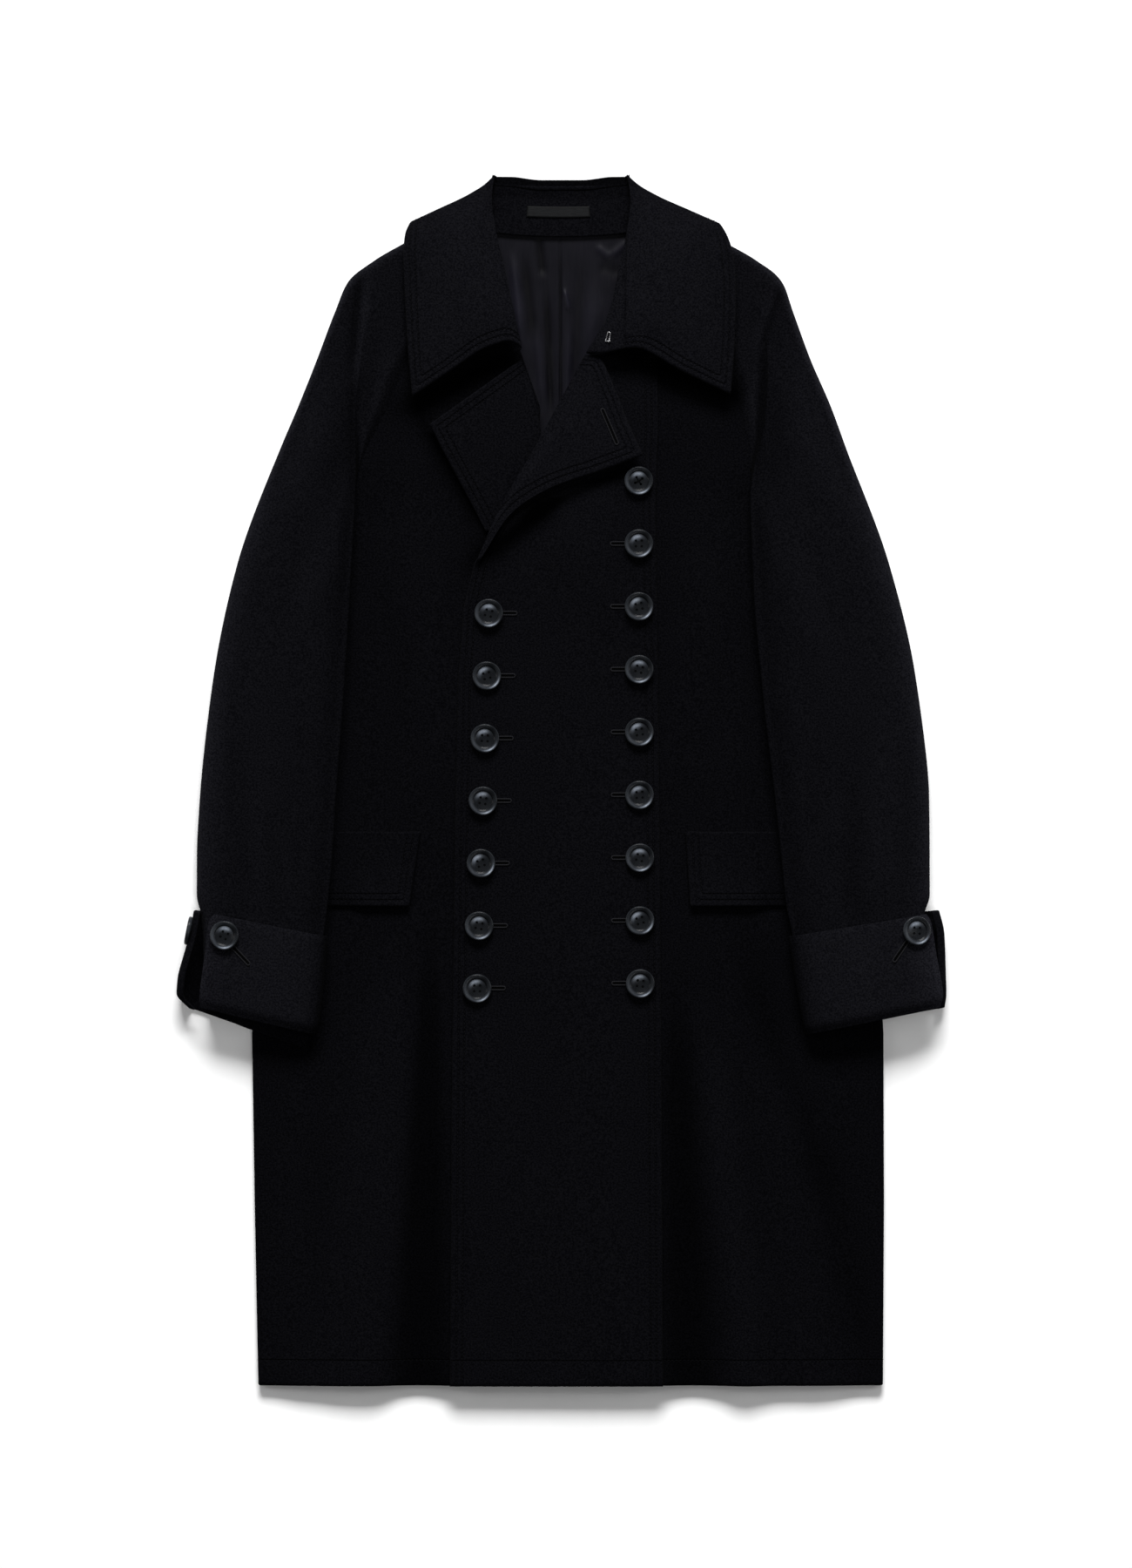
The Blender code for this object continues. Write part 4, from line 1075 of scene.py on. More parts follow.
def pulled_in(grid, thick, flush=()):
    """The grid with its border moved a little inwards, for a half-round edge. A flush side stays square."""
    made = grid.copy()
    for axis in (0, 1):
        for edge, inner in ((0, 1), (-1, -2)):
            if SIDES[axis, edge] in flush:
                continue
            away = np.take(grid, inner, axis=axis) - np.take(grid, edge, axis=axis)
            size = np.linalg.norm(away, axis=-1, keepdims=True)
            move = away / np.maximum(size, LEAST) * np.minimum(EDGE_ROUND * thick, EDGE_MOST * size)
            if axis == 0:
                made[edge] += move
            else:
                made[:, edge] += move
    return made


def shell_faces(rows, columns, rim):
    """Faces of a shell: its outer grid, its inner grid, and two bands round the rim between them."""
    count = rows * columns
    r, c = np.meshgrid(np.arange(rows - 1), np.arange(columns - 1), indexing="ij")
    a = (r * columns + c).ravel()
    outer = np.stack([a, a + columns, a + columns + 1, a + 1], axis=-1)
    inner = np.stack([a, a + 1, a + columns + 1, a + columns], axis=-1) + count
    place = 2 * count + np.arange(len(rim))
    after = np.roll(np.arange(len(rim)), -1)
    band = np.stack([rim[after], rim, place, place[after]], axis=-1)
    under = np.stack([place[after], place, count + rim, count + rim[after]], axis=-1)
    return np.concatenate([outer, inner, band, under])


def mesh_of(name, points, faces, *looks):
    """A smooth mesh from points in millimetres."""
    mesh = bpy.data.meshes.new(name)
    mesh.from_pydata((np.asarray(points) * MM).tolist(), [], [tuple(int(k) for k in face) for face in faces])
    mesh.shade_smooth()
    for look in looks:
        mesh.materials.append(look)
    return mesh


def mark(mesh, **marks):
    """Gives each point of a mesh its values, which the materials read."""
    for name, values in marks.items():
        mesh.attributes.new(name, "FLOAT", "POINT").data.foreach_set("value", values)


def add(name, data):
    """A new object in the scene."""
    made = bpy.data.objects.new(name, data)
    bpy.context.scene.collection.objects.link(made)
    return made


def piece_of(name, mesh, node=None):
    """A piece of the coat, in place of a node of the part where one is named."""
    made = add(name, mesh)
    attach(made, "root")
    if node is not None:
        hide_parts(node)
    return made


def placed(name, mesh, node, place, lean, turn):
    """A piece seated at a place, leaning with the cloth and turned by degrees."""
    made = piece_of(name, mesh, node)
    made.location = place
    made.rotation_mode = "QUATERNION"
    made.rotation_quaternion = lean @ Quaternion((0.0, 0.0, 1.0), math.radians(turn))


def cloth(node, grid, thick, look, slot, out=1.0, edges=(), hem=False, level=None, seam=None, tone=None,
          flush=(), shadow=None):
    """Closed shell whose outer face is the grid, with half-round edges and the distances to stitched edges.

    The tone, painted light and shade, comes from the height of each point, from a given level, or is given
    itself; the group of creases named by shadow paints shadow onto it.
    """
    rows, columns = grid.shape[:2]
    count = rows * columns
    x, y = grid[..., 0], grid[..., 1]
    normal = normals(grid, out)
    upper = pulled_in(grid, thick, flush)
    rim = rim_of(rows, columns)
    middle = (grid - 0.5 * thick * normal).reshape(-1, 3)[rim]
    points = np.concatenate([upper.reshape(-1, 3), (upper - normal * thick).reshape(-1, 3), middle])
    points[:, 2] = np.maximum(points[:, 2], 0.0)
    faces = shell_faces(rows, columns, rim)
    mesh = mesh_of(f"{node}_cloth", points, faces if out > 0.0 else faces[:, ::-1], look)
    far = np.zeros(len(points))
    low = np.zeros(len(points))
    aside = np.full(len(points), NO_SEAM)
    shade = np.ones(len(points))
    if edges:
        apart = np.min([inward(grid, side) for side in edges], axis=0)
        if seam is not None:
            apart = np.where((x > 0.0) & (x < seam.x1), NO_SEAM, apart)
        far[:count] = apart.ravel()
    if hem:
        low[:count] = inward(grid, "foot").ravel()
    if seam is not None:
        aside[:count] = seam_distance(seam, x, y).ravel()
    if tone is not None:
        shade[:count] = tone.ravel()
    elif level is not None:
        flat = np.broadcast_to(level, grid.shape[:2]).ravel()
        shade = painted_shade_at(np.concatenate([flat, flat, flat[rim]]))
    else:
        shade = painted_shade_at(points[:, 2])
    if shadow is not None:
        shade[:count] *= shadow_of(shadow, x, y).ravel()
    mark(mesh, edge_mm=far, hem_mm=low, seam_mm=aside, tone=shade)
    SHEETS[node] = (piece_of(f"{node}_cloth", mesh, node), grid, out)


def wool(node, grid, out=1.0, **details):
    """A piece of the coating."""
    cloth(node, grid, WOOL, WOOL_LOOK, "wool", out, **details)


def line_from(grid, normal, side, distance, others):
    """Points and normals of a row of stitching at a distance from one side, and as far from the others."""
    layers = [grid, normal] + [inward(grid, one)[..., None] for one in (side, *others)]
    if side in ("top", "foot"):
        layers = [np.swapaxes(layer, 0, 1) for layer in layers]
    if side in ("foot", "end"):
        layers = [layer[:, ::-1] for layer in layers]
    places = []
    ups = []
    columns = layers[0].shape[1]
    for row in range(layers[0].shape[0]):
        reach = layers[2][row, :, 0]
        if reach[-1] < distance:
            continue
        at = float(np.interp(distance, reach, np.arange(columns)))
        k = min(int(at), columns - 2)
        mixed = [mix(layer[row, k], layer[row, k + 1], at - k) for layer in layers]
        if all(float(far[0]) >= distance for far in mixed[3:]):
            places.append(mixed[0])
            ups.append(mixed[1])
    return np.array(places), np.array(ups)


def sew(grid, out, side, distances=STITCH_ROWS, others=(), keep=None):
    """Adds rows of stitches to the list, at distances from one side."""
    for distance in distances:
        places, ups = line_from(grid, normals(grid, out), side, distance, others)
        run = np.concatenate([[0.0], np.cumsum(np.linalg.norm(np.diff(places, axis=0), axis=-1))])
        for k in range(int(run[-1] / STITCH_PITCH)):
            ends = (k + STITCH_START) * STITCH_PITCH + STITCH_LONG * even(len(STITCH_RINGS))
            line = np.stack([np.interp(ends, run, places[:, i]) for i in range(3)], axis=-1)
            up = np.array([np.interp(ends[1], run, ups[:, i]) for i in range(3)])
            if keep is None or keep(*line[1]):
                STITCHES.append((line, up))


def stitch_mesh(name, look):
    """All the stitches in one mesh, each a short thread with sunk ends."""
    ring = 2.0 * math.pi * np.arange(STITCH_SIDES) / STITCH_SIDES
    points = []
    faces = []
    for line, up in STITCHES:
        base = len(points)
        side = np.cross(line[-1] - line[0], up)
        side /= np.linalg.norm(side)
        for place, (size, rise) in zip(line, STITCH_RINGS):
            points += [place + up * rise + STITCH_R * size * (side * math.cos(turn) + up * math.sin(turn))
                       for turn in ring]
        loops = base + np.arange(len(line) * STITCH_SIDES).reshape(-1, STITCH_SIDES)
        for first, second in zip(loops, loops[1:]):
            faces += list(np.stack([first, np.roll(first, -1), np.roll(second, -1), second], axis=-1))
        faces += [loops[0][::-1], loops[-1]]
    return mesh_of(name, points, faces, look)


def tube(path, radii, ups, sides, closed=False):
    """Points and faces of a tube along a path; ups point away from the cloth."""
    path = np.asarray(path, float)
    way = np.gradient(path, axis=0)
    if closed:
        way = np.roll(path, -1, axis=0) - np.roll(path, 1, axis=0)
    side = np.cross(way, ups)
    side /= np.linalg.norm(side, axis=-1, keepdims=True)
    over = np.cross(side, way)
    over /= np.linalg.norm(over, axis=-1, keepdims=True)
    ring = 2.0 * math.pi * np.arange(sides) / sides
    radii = np.broadcast_to(np.asarray(radii, float), (len(path),))
    points = path[:, None] + radii[:, None, None] * (
        side[:, None] * np.cos(ring)[None, :, None] + over[:, None] * np.sin(ring)[None, :, None])
    loops = np.arange(len(path) * sides).reshape(-1, sides)
    after = np.roll(loops, -1, axis=0)
    faces = []
    for first, second in list(zip(loops, after))[:None if closed else -1]:
        faces += list(np.stack([first, second, np.roll(second, -1), np.roll(first, -1)], axis=-1))
    if not closed:
        faces += [loops[0], loops[-1][::-1]]
    return points.reshape(-1, 3), faces


def on_cloth(name, x, y):
    """The point of a piece's outer face over (x, y), and its normal."""
    _, grid, out = SHEETS[name]
    flat = grid.reshape(-1, 3)
    up = normals(grid, out).reshape(-1, 3)
    away = (flat[:, 0] - x) ** 2 + (flat[:, 1] - y) ** 2
    away = np.where(up[:, 2] > FACING_UP, away, FAR_AWAY)
    near = np.argsort(away)[:NEAR_COUNT]
    weight = 1.0 / (away[near] + NEAR_SOFT)
    weight /= weight.sum()
    normal = weight @ up[near]
    return np.array([x, y, weight @ flat[near, 2]]), normal / np.linalg.norm(normal)


def sew_hole(name, x0, y0, x1, y1):
    """Adds a buttonhole: a sewn cord round a slit."""
    start = np.array([x0, y0])
    line = np.array([x1 - x0, y1 - y0])
    length = np.linalg.norm(line)
    way = line / length
    side = np.array([-way[1], way[0]])
    straight = length * even(HOLE_POINTS)
    bend = np.linspace(-0.5 * math.pi, 0.5 * math.pi, HOLE_BEND_POINTS)[1:-1]
    flat = [start + way * run - side * HOLE_HALF for run in straight]
    flat += [start + way * (length + HOLE_HALF * math.cos(turn)) + side * HOLE_HALF * math.sin(turn)
             for turn in bend]
    flat += [start + way * run + side * HOLE_HALF for run in straight[::-1]]
    flat += [start - way * HOLE_HALF * math.cos(turn) - side * HOLE_HALF * math.sin(turn) for turn in bend]
    seated = [on_cloth(name, *place) for place in flat]
    path = np.array([place + HOLE_UP * up for place, up in seated])
    ups = np.array([up for _, up in seated])
    radii = HOLE_CORD * (1.0 + HOLE_TWIST * np.cos(math.pi * np.arange(len(path))))
    HOLE_PARTS.append((*tube(path, radii, ups, CORD_SIDES, closed=True), 0))
    # The slit: a near-black strip, painted shade in the opening.
    middle = [on_cloth(name, *(start + way * run)) for run in length * even(SLIT_POINTS)]
    spine = np.array([place + SLIT_UP * up for place, up in middle])
    width = SLIT_HALF * np.append(side, 0.0)
    strip = np.concatenate([spine - width, spine + width])
    faces = [(k, k + 1, k + SLIT_POINTS + 1, k + SLIT_POINTS) for k in range(SLIT_POINTS - 1)]
    HOLE_PARTS.append((strip, faces, 1))


def joined(name, parts, looks):
    """One mesh from lists of points, faces and material numbers."""
    points = []
    faces = []
    slots = []
    for some, rings, look in parts:
        base = len(points)
        points += list(some)
        faces += [tuple(base + k for k in face) for face in rings]
        slots += [look] * len(rings)
    mesh = mesh_of(name, points, faces, *looks)
    mesh.polygons.foreach_set("material_index", slots)
    return mesh


def lathe(profile, sides):
    """Points and faces of a solid of revolution about Z; the first and last rows lie on the axis."""
    turns = 2.0 * math.pi * np.arange(sides) / sides
    points = [(0.0, 0.0, profile[0][1])]
    for radius, height in profile[1:-1]:
        points += [(radius * math.cos(turn), radius * math.sin(turn), height) for turn in turns]
    points.append((0.0, 0.0, profile[-1][1]))
    faces = []
    rings = len(profile) - 2
    top = 1 + (rings - 1) * sides
    for k in range(sides):
        after = (k + 1) % sides
        faces.append((0, 1 + after, 1 + k))
        for low in range(1, top, sides):
            faces.append((low + k, low + after, low + sides + after, low + sides + k))
        faces.append((top + k, top + after, len(points) - 1))
    return points, faces


def button_painted_light(points):
    """Painted light and shade of the horn at points of a button, in mm from its middle."""
    away = np.hypot(points[:, 0], points[:, 1])
    turn = np.degrees(np.arctan2(points[:, 1], points[:, 0]))
    tone = np.interp(away, [row.radius for row in RIM_PAINTED_LIGHT], [row.share for row in RIM_PAINTED_LIGHT])
    for row in BUTTON_PAINTED_LIGHT:
        aside = (turn - row.angle + 180.0) % 360.0 - 180.0
        spot = np.exp(-((away - row.radius) / row.reach) ** 2 - (aside / row.spread) ** 2)
        tone += row.share * spot * ((away < DISH_R) == (row.radius < DISH_R))
    return tone


def drilled(resin, centres):
    """The turned button with its holes cut."""
    blank = add("button_blank", joined("button_blank", [(*lathe(BUTTON_PROFILE, BUTTON_RINGS), 0)], [resin]))
    rod = [(0.0, DRILL_FROM), (HOLE_D / 2.0, DRILL_FROM), (HOLE_D / 2.0, DRILL_TO), (0.0, DRILL_TO)]
    drills = []
    for x, y in centres:
        drill = add("drill", joined("drill", [(*lathe(rod, DRILL_SIDES), 0)], [resin]))
        drill.location = (x * MM, y * MM, 0.0)
        cut = blank.modifiers.new("hole", "BOOLEAN")
        cut.operation = "DIFFERENCE"
        cut.solver = "EXACT"
        cut.object = drill
        drills.append(drill)
    bpy.context.view_layer.update()
    mesh = bpy.data.meshes.new_from_object(blank.evaluated_get(bpy.context.evaluated_depsgraph_get()))
    for helper in [blank] + drills:
        bpy.data.objects.remove(helper)
    return mesh


def crossed_thread(away, stem):
    """Two threads from corner to corner of the holes, each a pair of strands."""
    run = np.linspace(-1.0, 1.0, THREAD_POINTS)
    parts = []
    for sign in (1, -1):
        across = np.array([-sign, 1.0]) / math.sqrt(2.0)
        for offset in (-THREAD_R, THREAD_R):
            path = np.zeros((THREAD_POINTS, 3))
            path[:, :2] = (run * away)[:, None] * np.array([1.0, sign]) + offset * across
            path[:, 2] = stem + THREAD_UP + THREAD_OVER * sign - THREAD_DOWN * np.abs(run) ** THREAD_BEND
            parts.append(tube(path, THREAD_R, np.array([0.0, 0.0, 1.0]), THREAD_SIDES))
    return parts


def thread_ends(centres, stem):
    """The thread seen end on in each hole."""
    turns = np.linspace(0.0, 2.0 * math.pi, DISC_SIDES, endpoint=False)
    ring = np.stack([DISC_R * np.cos(turns), DISC_R * np.sin(turns), 0.0 * turns], axis=-1)
    return [(ring + np.array([x, y, stem - DISC_SUNK]), [range(DISC_SIDES)]) for x, y in centres]


def button_model(resin, thread, crossed):
    """A dished button with four holes, its thread crossed over the dish or seen end on in the holes."""
    away = HOLE_SQUARE / 2.0
    centres = [(x * away, y * away) for x, y in ((1, 1), (-1, 1), (-1, -1), (1, -1))]
    stem = BUTTON_PROFILE[-1].height
    mesh = drilled(resin, centres)
    shape = bmesh.new()
    shape.from_mesh(mesh)
    for points, faces in crossed_thread(away, stem) if crossed else thread_ends(centres, stem):
        made = [shape.verts.new(point * MM) for point in points]
        for face in faces:
            shape.faces.new([made[k] for k in face]).material_index = 1
    shape.to_mesh(mesh)
    shape.free()
    mesh.materials[0] = resin
    mesh.materials.append(thread)
    mark(mesh, tone=button_painted_light(np.array([vertex.co for vertex in mesh.vertices]) / MM))
    mesh.shade_smooth()
    mesh.set_sharp_from_angle(angle=math.radians(SHARP_ANGLE))
    return mesh


def button_row(side, first, mesh, towards, count, x_top, x_bottom, y_top, pitch):
    """A row of buttons on the panel, with a buttonhole beside each that is buttoned."""
    ring = np.linspace(0.0, 2.0 * math.pi, SEAT_POINTS)
    for k in range(count):
        x = x_top + (x_bottom - x_top) * k / (count - 1)
        y = y_top - pitch * k
        under = panel_top(x + HALF_BUTTON * np.cos(ring), y + HALF_BUTTON * np.sin(ring))
        place = Vector((x, y, float(np.max(under)) + BUTTON_CLEAR)) * MM
        turn = BUTTON_TURN * math.sin(BUTTON_TURN_STEP * k + len(side))
        swing = 2.0 * math.pi * math.sin(SWING_STEP * k + SWING_SIDE * len(side))
        axis = Vector((math.cos(swing), math.sin(swing), 0.0))
        lean = Quaternion(axis, math.radians(BUTTON_TILT * math.sin(TILT_STEP * k + 1.0)))
        place_button(f"button_{side}_{k + 1}", mesh if k else first, place, lean, turn)
        if side == "right" or k > 0:
            sew_hole("front_panel", x + towards * HOLE_START, y, x + towards * HOLE_VISIBLE, y)


def place_button(node, mesh, place, lean, turn):
    placed(node + "_model", mesh, node, place, lean, turn)


def seat_on(grid, out, x, y, z, reach):
    """Where a flat piece of a given reach touches a surface near a point: its place and its lean."""
    flat = grid.reshape(-1, 3)
    nearest = int(np.argmin(np.linalg.norm(flat - np.array([x, y, z]), axis=1)))
    middle = flat[nearest]
    up = normals(grid, out).reshape(-1, 3)[nearest]
    near = flat[np.linalg.norm(flat - middle, axis=1) < reach]
    height = float(np.max((near - middle) @ up))
    return Vector(middle + up * (height + GAP)) * MM, Vector(up).to_track_quat("Z", "Y")


def raglan_seam(name, sleeve, shade, side):
    """Points, faces and painted light and shade of the soft ridge that carries a sleeve's seam down onto the
    front.
    """
    run = np.arange(SEAM_FROM, SEAM_TO)
    edge = sleeve[run, -1]
    along = sleeve[run + 1, -1, :2] - sleeve[run - 1, -1, :2]
    along /= np.linalg.norm(along, axis=1)[:, None]
    aside = np.stack([along[:, 1], -along[:, 0]], axis=1)
    aside *= -side * np.sign(aside[:, :1])
    points = []
    tones = []
    for k, row in enumerate(run):
        fade = 1.0 - soft((row - SEAM_TO + SEAM_FADE) / SEAM_FADE)
        reach = SEAM_OUT * mix(SEAM_LEAST, 1.0, fade)
        back = SEAM_IN * mix(SEAM_LEAST, 1.0, fade)
        (_, _, high), _ = on_cloth(f"sleeve_{name}_front", *(edge[k, :2] - back * aside[k]))
        high = min(high, edge[k, 2] + SEAM_RIDGE)
        (x, y, low), _ = on_cloth(f"front_{name}", *(edge[k, :2] + reach * aside[k]))
        crest = max(high, edge[k, 2]) + SEAM_RIDGE * fade
        dark = painted_shade_at(low) * float(shadow_of("painted_shadows", x, y))
        for u in np.linspace(-back, reach, SEAM_COLUMNS):
            if u < 0.0:
                z = mix(high - SEAM_SUNK, crest, soft(1.0 + u / back))
            else:
                z = mix(crest, low - SEAM_SUNK, soft(u / reach))
            points.append((*(edge[k, :2] + u * aside[k]), z))
            tones.append(mix(shade[row, -2], dark, soft((u + back) / (reach + back))))
    base = (np.arange(len(run) - 1)[:, None] * SEAM_COLUMNS + np.arange(SEAM_COLUMNS - 1)).ravel()
    faces = np.stack([base, base + SEAM_COLUMNS, base + SEAM_COLUMNS + 1, base + 1], axis=-1)
    return np.array(points), faces if side < 0 else faces[:, ::-1], np.array(tones)


def add_seam(name, sleeve, shade, side):
    """The raglan seam as a piece of its own."""
    points, faces, tones = raglan_seam(name, sleeve, shade, side)
    mesh = mesh_of(f"raglan_seam_{name}", points, faces, WOOL_LOOK)
    mark(mesh, seam_mm=np.full(len(points), NO_SEAM), tone=tones)
    piece_of(f"raglan_seam_{name}", mesh)


class Nodes:
    """Short way to make and link the nodes of a material."""

    def __init__(self, name):
        self.material = bpy.data.materials.new(name)
        self.material.use_nodes = True
        self.tree = self.material.node_tree
        self.place = self.node("ShaderNodeTexCoord").outputs["Object"]

    def node(self, kind, **settings):
        made = self.tree.nodes.new(kind)
        for key, value in settings.items():
            setattr(made, key, value)
        return made

    def fill(self, node, **values):
        """Sets the sockets of a node, or links them where a value is a socket."""
        for key, value in values.items():
            socket = node.inputs[key.replace("_", " ")]
            if isinstance(value, bpy.types.NodeSocket):
                self.tree.links.new(value, socket)
            else:
                socket.default_value = value
        return node

    def noise(self, scale, detail, stretch=None):
        place = self.place
        if stretch is not None:
            mapping = self.fill(self.node("ShaderNodeMapping"), Vector=place, Scale=stretch)
            place = mapping.outputs["Vector"]
        made = self.fill(self.node("ShaderNodeTexNoise"), Vector=place, Scale=scale, Detail=detail)
        return made.outputs["Fac"]

    def math(self, operation, first, second):
        made = self.node("ShaderNodeMath", operation=operation)
        for value, socket in zip((first, second), made.inputs):
            if isinstance(value, float):
                socket.default_value = value
            else:
                self.tree.links.new(value, socket)
        return made.outputs[0]

    def ramp(self, value, low, high, start=0.3, end=0.7):
        """A colour, or a grey from one number, that goes from low to high between two values."""
        made = self.fill(self.node("ShaderNodeValToRGB"), Fac=value)
        for element, at, colour in zip(made.color_ramp.elements, (start, end), (low, high)):
            element.position = at
            element.color = (*(colour if isinstance(colour, tuple) else (colour,) * 3), 1.0)
        return made.outputs["Color"]

    def bump(self, height, distance, strength, **before):
        made = self.node("ShaderNodeBump")
        self.fill(made, Height=height, Distance=distance, Strength=strength, **before)
        return made.outputs["Normal"]

    def mark(self, name):
        return self.node("ShaderNodeAttribute", attribute_name=name).outputs["Fac"]

    def toned(self, colour):
        """The colour times the tone of the cloth, which is painted light and shade."""
        made = self.fill(self.node("ShaderNodeVectorMath", operation="SCALE"), Scale=self.mark("tone"))
        self.tree.links.new(colour, made.inputs[0])
        return made.outputs[0]

    def darkened(self, colour, where, by):
        """The colour, multiplied by another where the factor is one."""
        made = self.node("ShaderNodeMix", data_type="RGBA", blend_type="MULTIPLY")
        made.inputs["B"].default_value = (*by, 1.0)
        self.tree.links.new(where, made.inputs["Factor"])
        self.tree.links.new(colour, made.inputs["A"])
        return made.outputs["Result"]

    def groove(self, name, distance, half):
        """One along a line at a distance from an edge, none away from it."""
        aside = self.math("DIVIDE", self.math("SUBTRACT", self.mark(name), distance), half)
        return self.math("POWER", math.e, self.math("MULTIPLY", self.math("MULTIPLY", aside, aside), -1.0))

    def finish(self, **values):
        self.fill(self.tree.nodes["Principled BSDF"], **values)
        return self.material


WOOL_DARK = (0.0014, 0.0014, 0.0019)
WOOL_PALE = (0.0037, 0.0037, 0.0047)
NAP_SCALE = 620.0
NAP_SHARE = 0.94
NAP_DEEP = 0.0005
HAIR_SHARE = 0.6
GROOVE_HALF = 0.75
GROOVE_DEEP = 0.0009
# Painted shade in the pressed grooves under the stitching
GROOVE_DARK = (0.80, 0.80, 0.81)
LABEL_RIM = 0.6
LABEL_RIM_HALF = 0.7
LABEL_RIM_DARK = (0.3, 0.3, 0.3)
THREAD_DARK = 0.55


def wool_material():
    """Black napped coating: short nap, a little mottling, pressed grooves under the stitching painted darker,
    and painted light and shade from the tone.
    """
    made = Nodes("wool_coating")
    nap = made.noise(NAP_SCALE, 4.0)
    hair = made.noise(260.0, 3.0, (1.0, 0.28, 1.0))
    mottle = made.noise(38.0, 3.0)
    cloud = made.math("MULTIPLY", mottle, 1.0 - NAP_SHARE)
    mixed = made.math("ADD", made.math("MULTIPLY", nap, NAP_SHARE), cloud)
    grain = made.ramp(mixed, WOOL_DARK, WOOL_PALE, 0.38, 0.62)
    rows = made.groove("edge_mm", STITCH_ROWS[0], GROOVE_HALF)
    for name, distance in (("edge_mm", STITCH_ROWS[1]), ("hem_mm", HEM_ROW), ("seam_mm", 0.0)):
        rows = made.math("ADD", rows, made.groove(name, distance, GROOVE_HALF))
    cut = made.bump(made.math("MULTIPLY", rows, -1.0), GROOVE_DEEP, 1.0)
    felt = made.math("ADD", nap, made.math("MULTIPLY", hair, HAIR_SHARE))
    return made.finish(
        Base_Color=made.darkened(made.toned(grain), rows, GROOVE_DARK),
        Normal=made.bump(felt, NAP_DEEP, 0.5, Normal=cut),
        Roughness=0.95, Specular_IOR_Level=0.0, Sheen_Weight=0.004, Sheen_Roughness=0.5)


def satin_material():
    made = Nodes("satin_lining")
    thread = made.noise(900.0, 2.0, (1.0, 0.06, 1.0))
    grain = made.ramp(made.noise(30.0, 2.0), (0.0026, 0.0025, 0.0042), (0.0044, 0.0042, 0.0066))
    # The tone attribute brings painted highlights on the satin's folds and painted shade between them.
    return made.finish(
        Base_Color=made.toned(grain), Roughness=made.ramp(thread, 0.40, 0.50),
        Normal=made.bump(thread, 0.0002, 0.25), Specular_IOR_Level=0.08, Sheen_Weight=0.004)


def resin_material():
    made = Nodes("horn_resin_model")
    grain = made.noise(160.0, 4.0, (1.0, 0.35, 1.0))
    fine = made.noise(1400.0, 2.0)
    horn = made.ramp(grain, (0.0036, 0.0041, 0.0050), (0.0088, 0.0098, 0.0113), 0.30, 0.75)
    # The horn's own colour, times the tone attribute that brings painted highlights and shade.
    return made.finish(
        Base_Color=made.toned(horn), Roughness=made.ramp(fine, 0.23, 0.30),
        Normal=made.bump(fine, 0.00006, 0.3), Specular_IOR_Level=0.06)


def thread_material(name, pale):
    made = Nodes(name)
    twist = made.noise(1800.0, 2.0)
    dark = tuple(THREAD_DARK * value for value in pale)
    return made.finish(
        Base_Color=made.ramp(twist, dark, pale), Normal=made.bump(twist, 0.0001, 0.5),
        Roughness=0.7, Specular_IOR_Level=0.02)


def label_material():
    made = Nodes("woven_label")
    weft = made.noise(1500.0, 2.0, (0.12, 1.0, 1.0))
    rim = made.groove("edge_mm", LABEL_RIM, LABEL_RIM_HALF)
    colour = made.ramp(weft, (0.0045, 0.0047, 0.0051), (0.0075, 0.0079, 0.0085))
    return made.finish(
        Base_Color=made.darkened(colour, rim, LABEL_RIM_DARK), Normal=made.bump(weft, 0.00015, 0.4),
        Roughness=0.6, Specular_IOR_Level=0.06)


def wire_material():
    made = Nodes("hook_wire_model")
    wear = made.noise(700.0, 3.0)
    return made.finish(
        Base_Color=made.ramp(wear, (0.20, 0.20, 0.21), (0.34, 0.34, 0.35)),
        Roughness=made.ramp(wear, 0.28, 0.42), Metallic=1.0)


def floor_material():
    made = Nodes("studio_floor")
    return made.finish(
        Base_Color=made.ramp(made.noise(60.0, 2.0), 0.90, 0.92), Roughness=0.8, Specular_IOR_Level=0.1)


WOOL_LOOK = wool_material()
SATIN_LOOK = satin_material()
RESIN_LOOK = resin_material()
THREAD_LOOK = thread_material("sewing_thread", (0.0040, 0.0040, 0.0050))
CORD_LOOK = thread_material("buttonhole_cord", (0.0115, 0.0115, 0.0132))
SHANK_LOOK = thread_material("button_thread", (0.0016, 0.0017, 0.0020))
SLIT_LOOK = thread_material("slit_shadow", (0.0004, 0.0004, 0.0005))
LABEL_LOOK = label_material()
WIRE_LOOK = wire_material()

# Painted light and shade of the cloth pieces, as heights and factors; the crest of the stand; painted
# highlights of the satin
SLEEVE_LEVEL = 19.0
SLEEVE_SHARE = 1.12
CUFF_LEVEL = 34.0
CUFF_SHARE = 1.15
CUFF_BACK_LEVEL = 17.0
STAND_LEVEL = 19.0
STAND_RISE = np.array([0.0, 0.0, 0.5])
STAND_CREST = np.array([0.0, 2.6, 2.0])
STAND_CREST_SHARE = 0.25
SATIN_SHARE = 0.45
SATIN_LEAST = 0.4
SATIN_MOST = 2.0
BREAK_Y = 205.0
HANDS = ((-1, "right", 1.0), (1, "left", -1.0))

# Columns and rows of each piece's grid; a front's are closer together round its side seam
ROLL_COLUMNS = 9
LEVEL_COLUMNS = 74
FRONT_COLUMNS = np.concatenate([
    np.linspace(0.0, ROLL_SHARE, ROLL_COLUMNS)[:-1], np.linspace(ROLL_SHARE, 1.0, LEVEL_COLUMNS)])
STAND_ROWS = even(41)
FINE = even(81)
GRIDS = {
    "back": (even(61), even(121)),
    "front": (FRONT_COLUMNS, even(255)),
    "panel": (even(65), even(245)),
    "lapel": (even(49), even(81)),
    "collar": (even(61), even(241)),
    "stand": (even(61), STAND_ROWS),
    "label": (even(41), even(9)),
    "lining": (even(141), even(121)),
    "sleeve": (even(73), even(181)),
    "sleeve_back": (even(37), even(121)),
    "cuff": (even(61), even(41)),
    "flap": (even(49), even(33)),
    "button_seat": (FINE, FINE),
    "hook_seat": (FINE, even(201)),
}

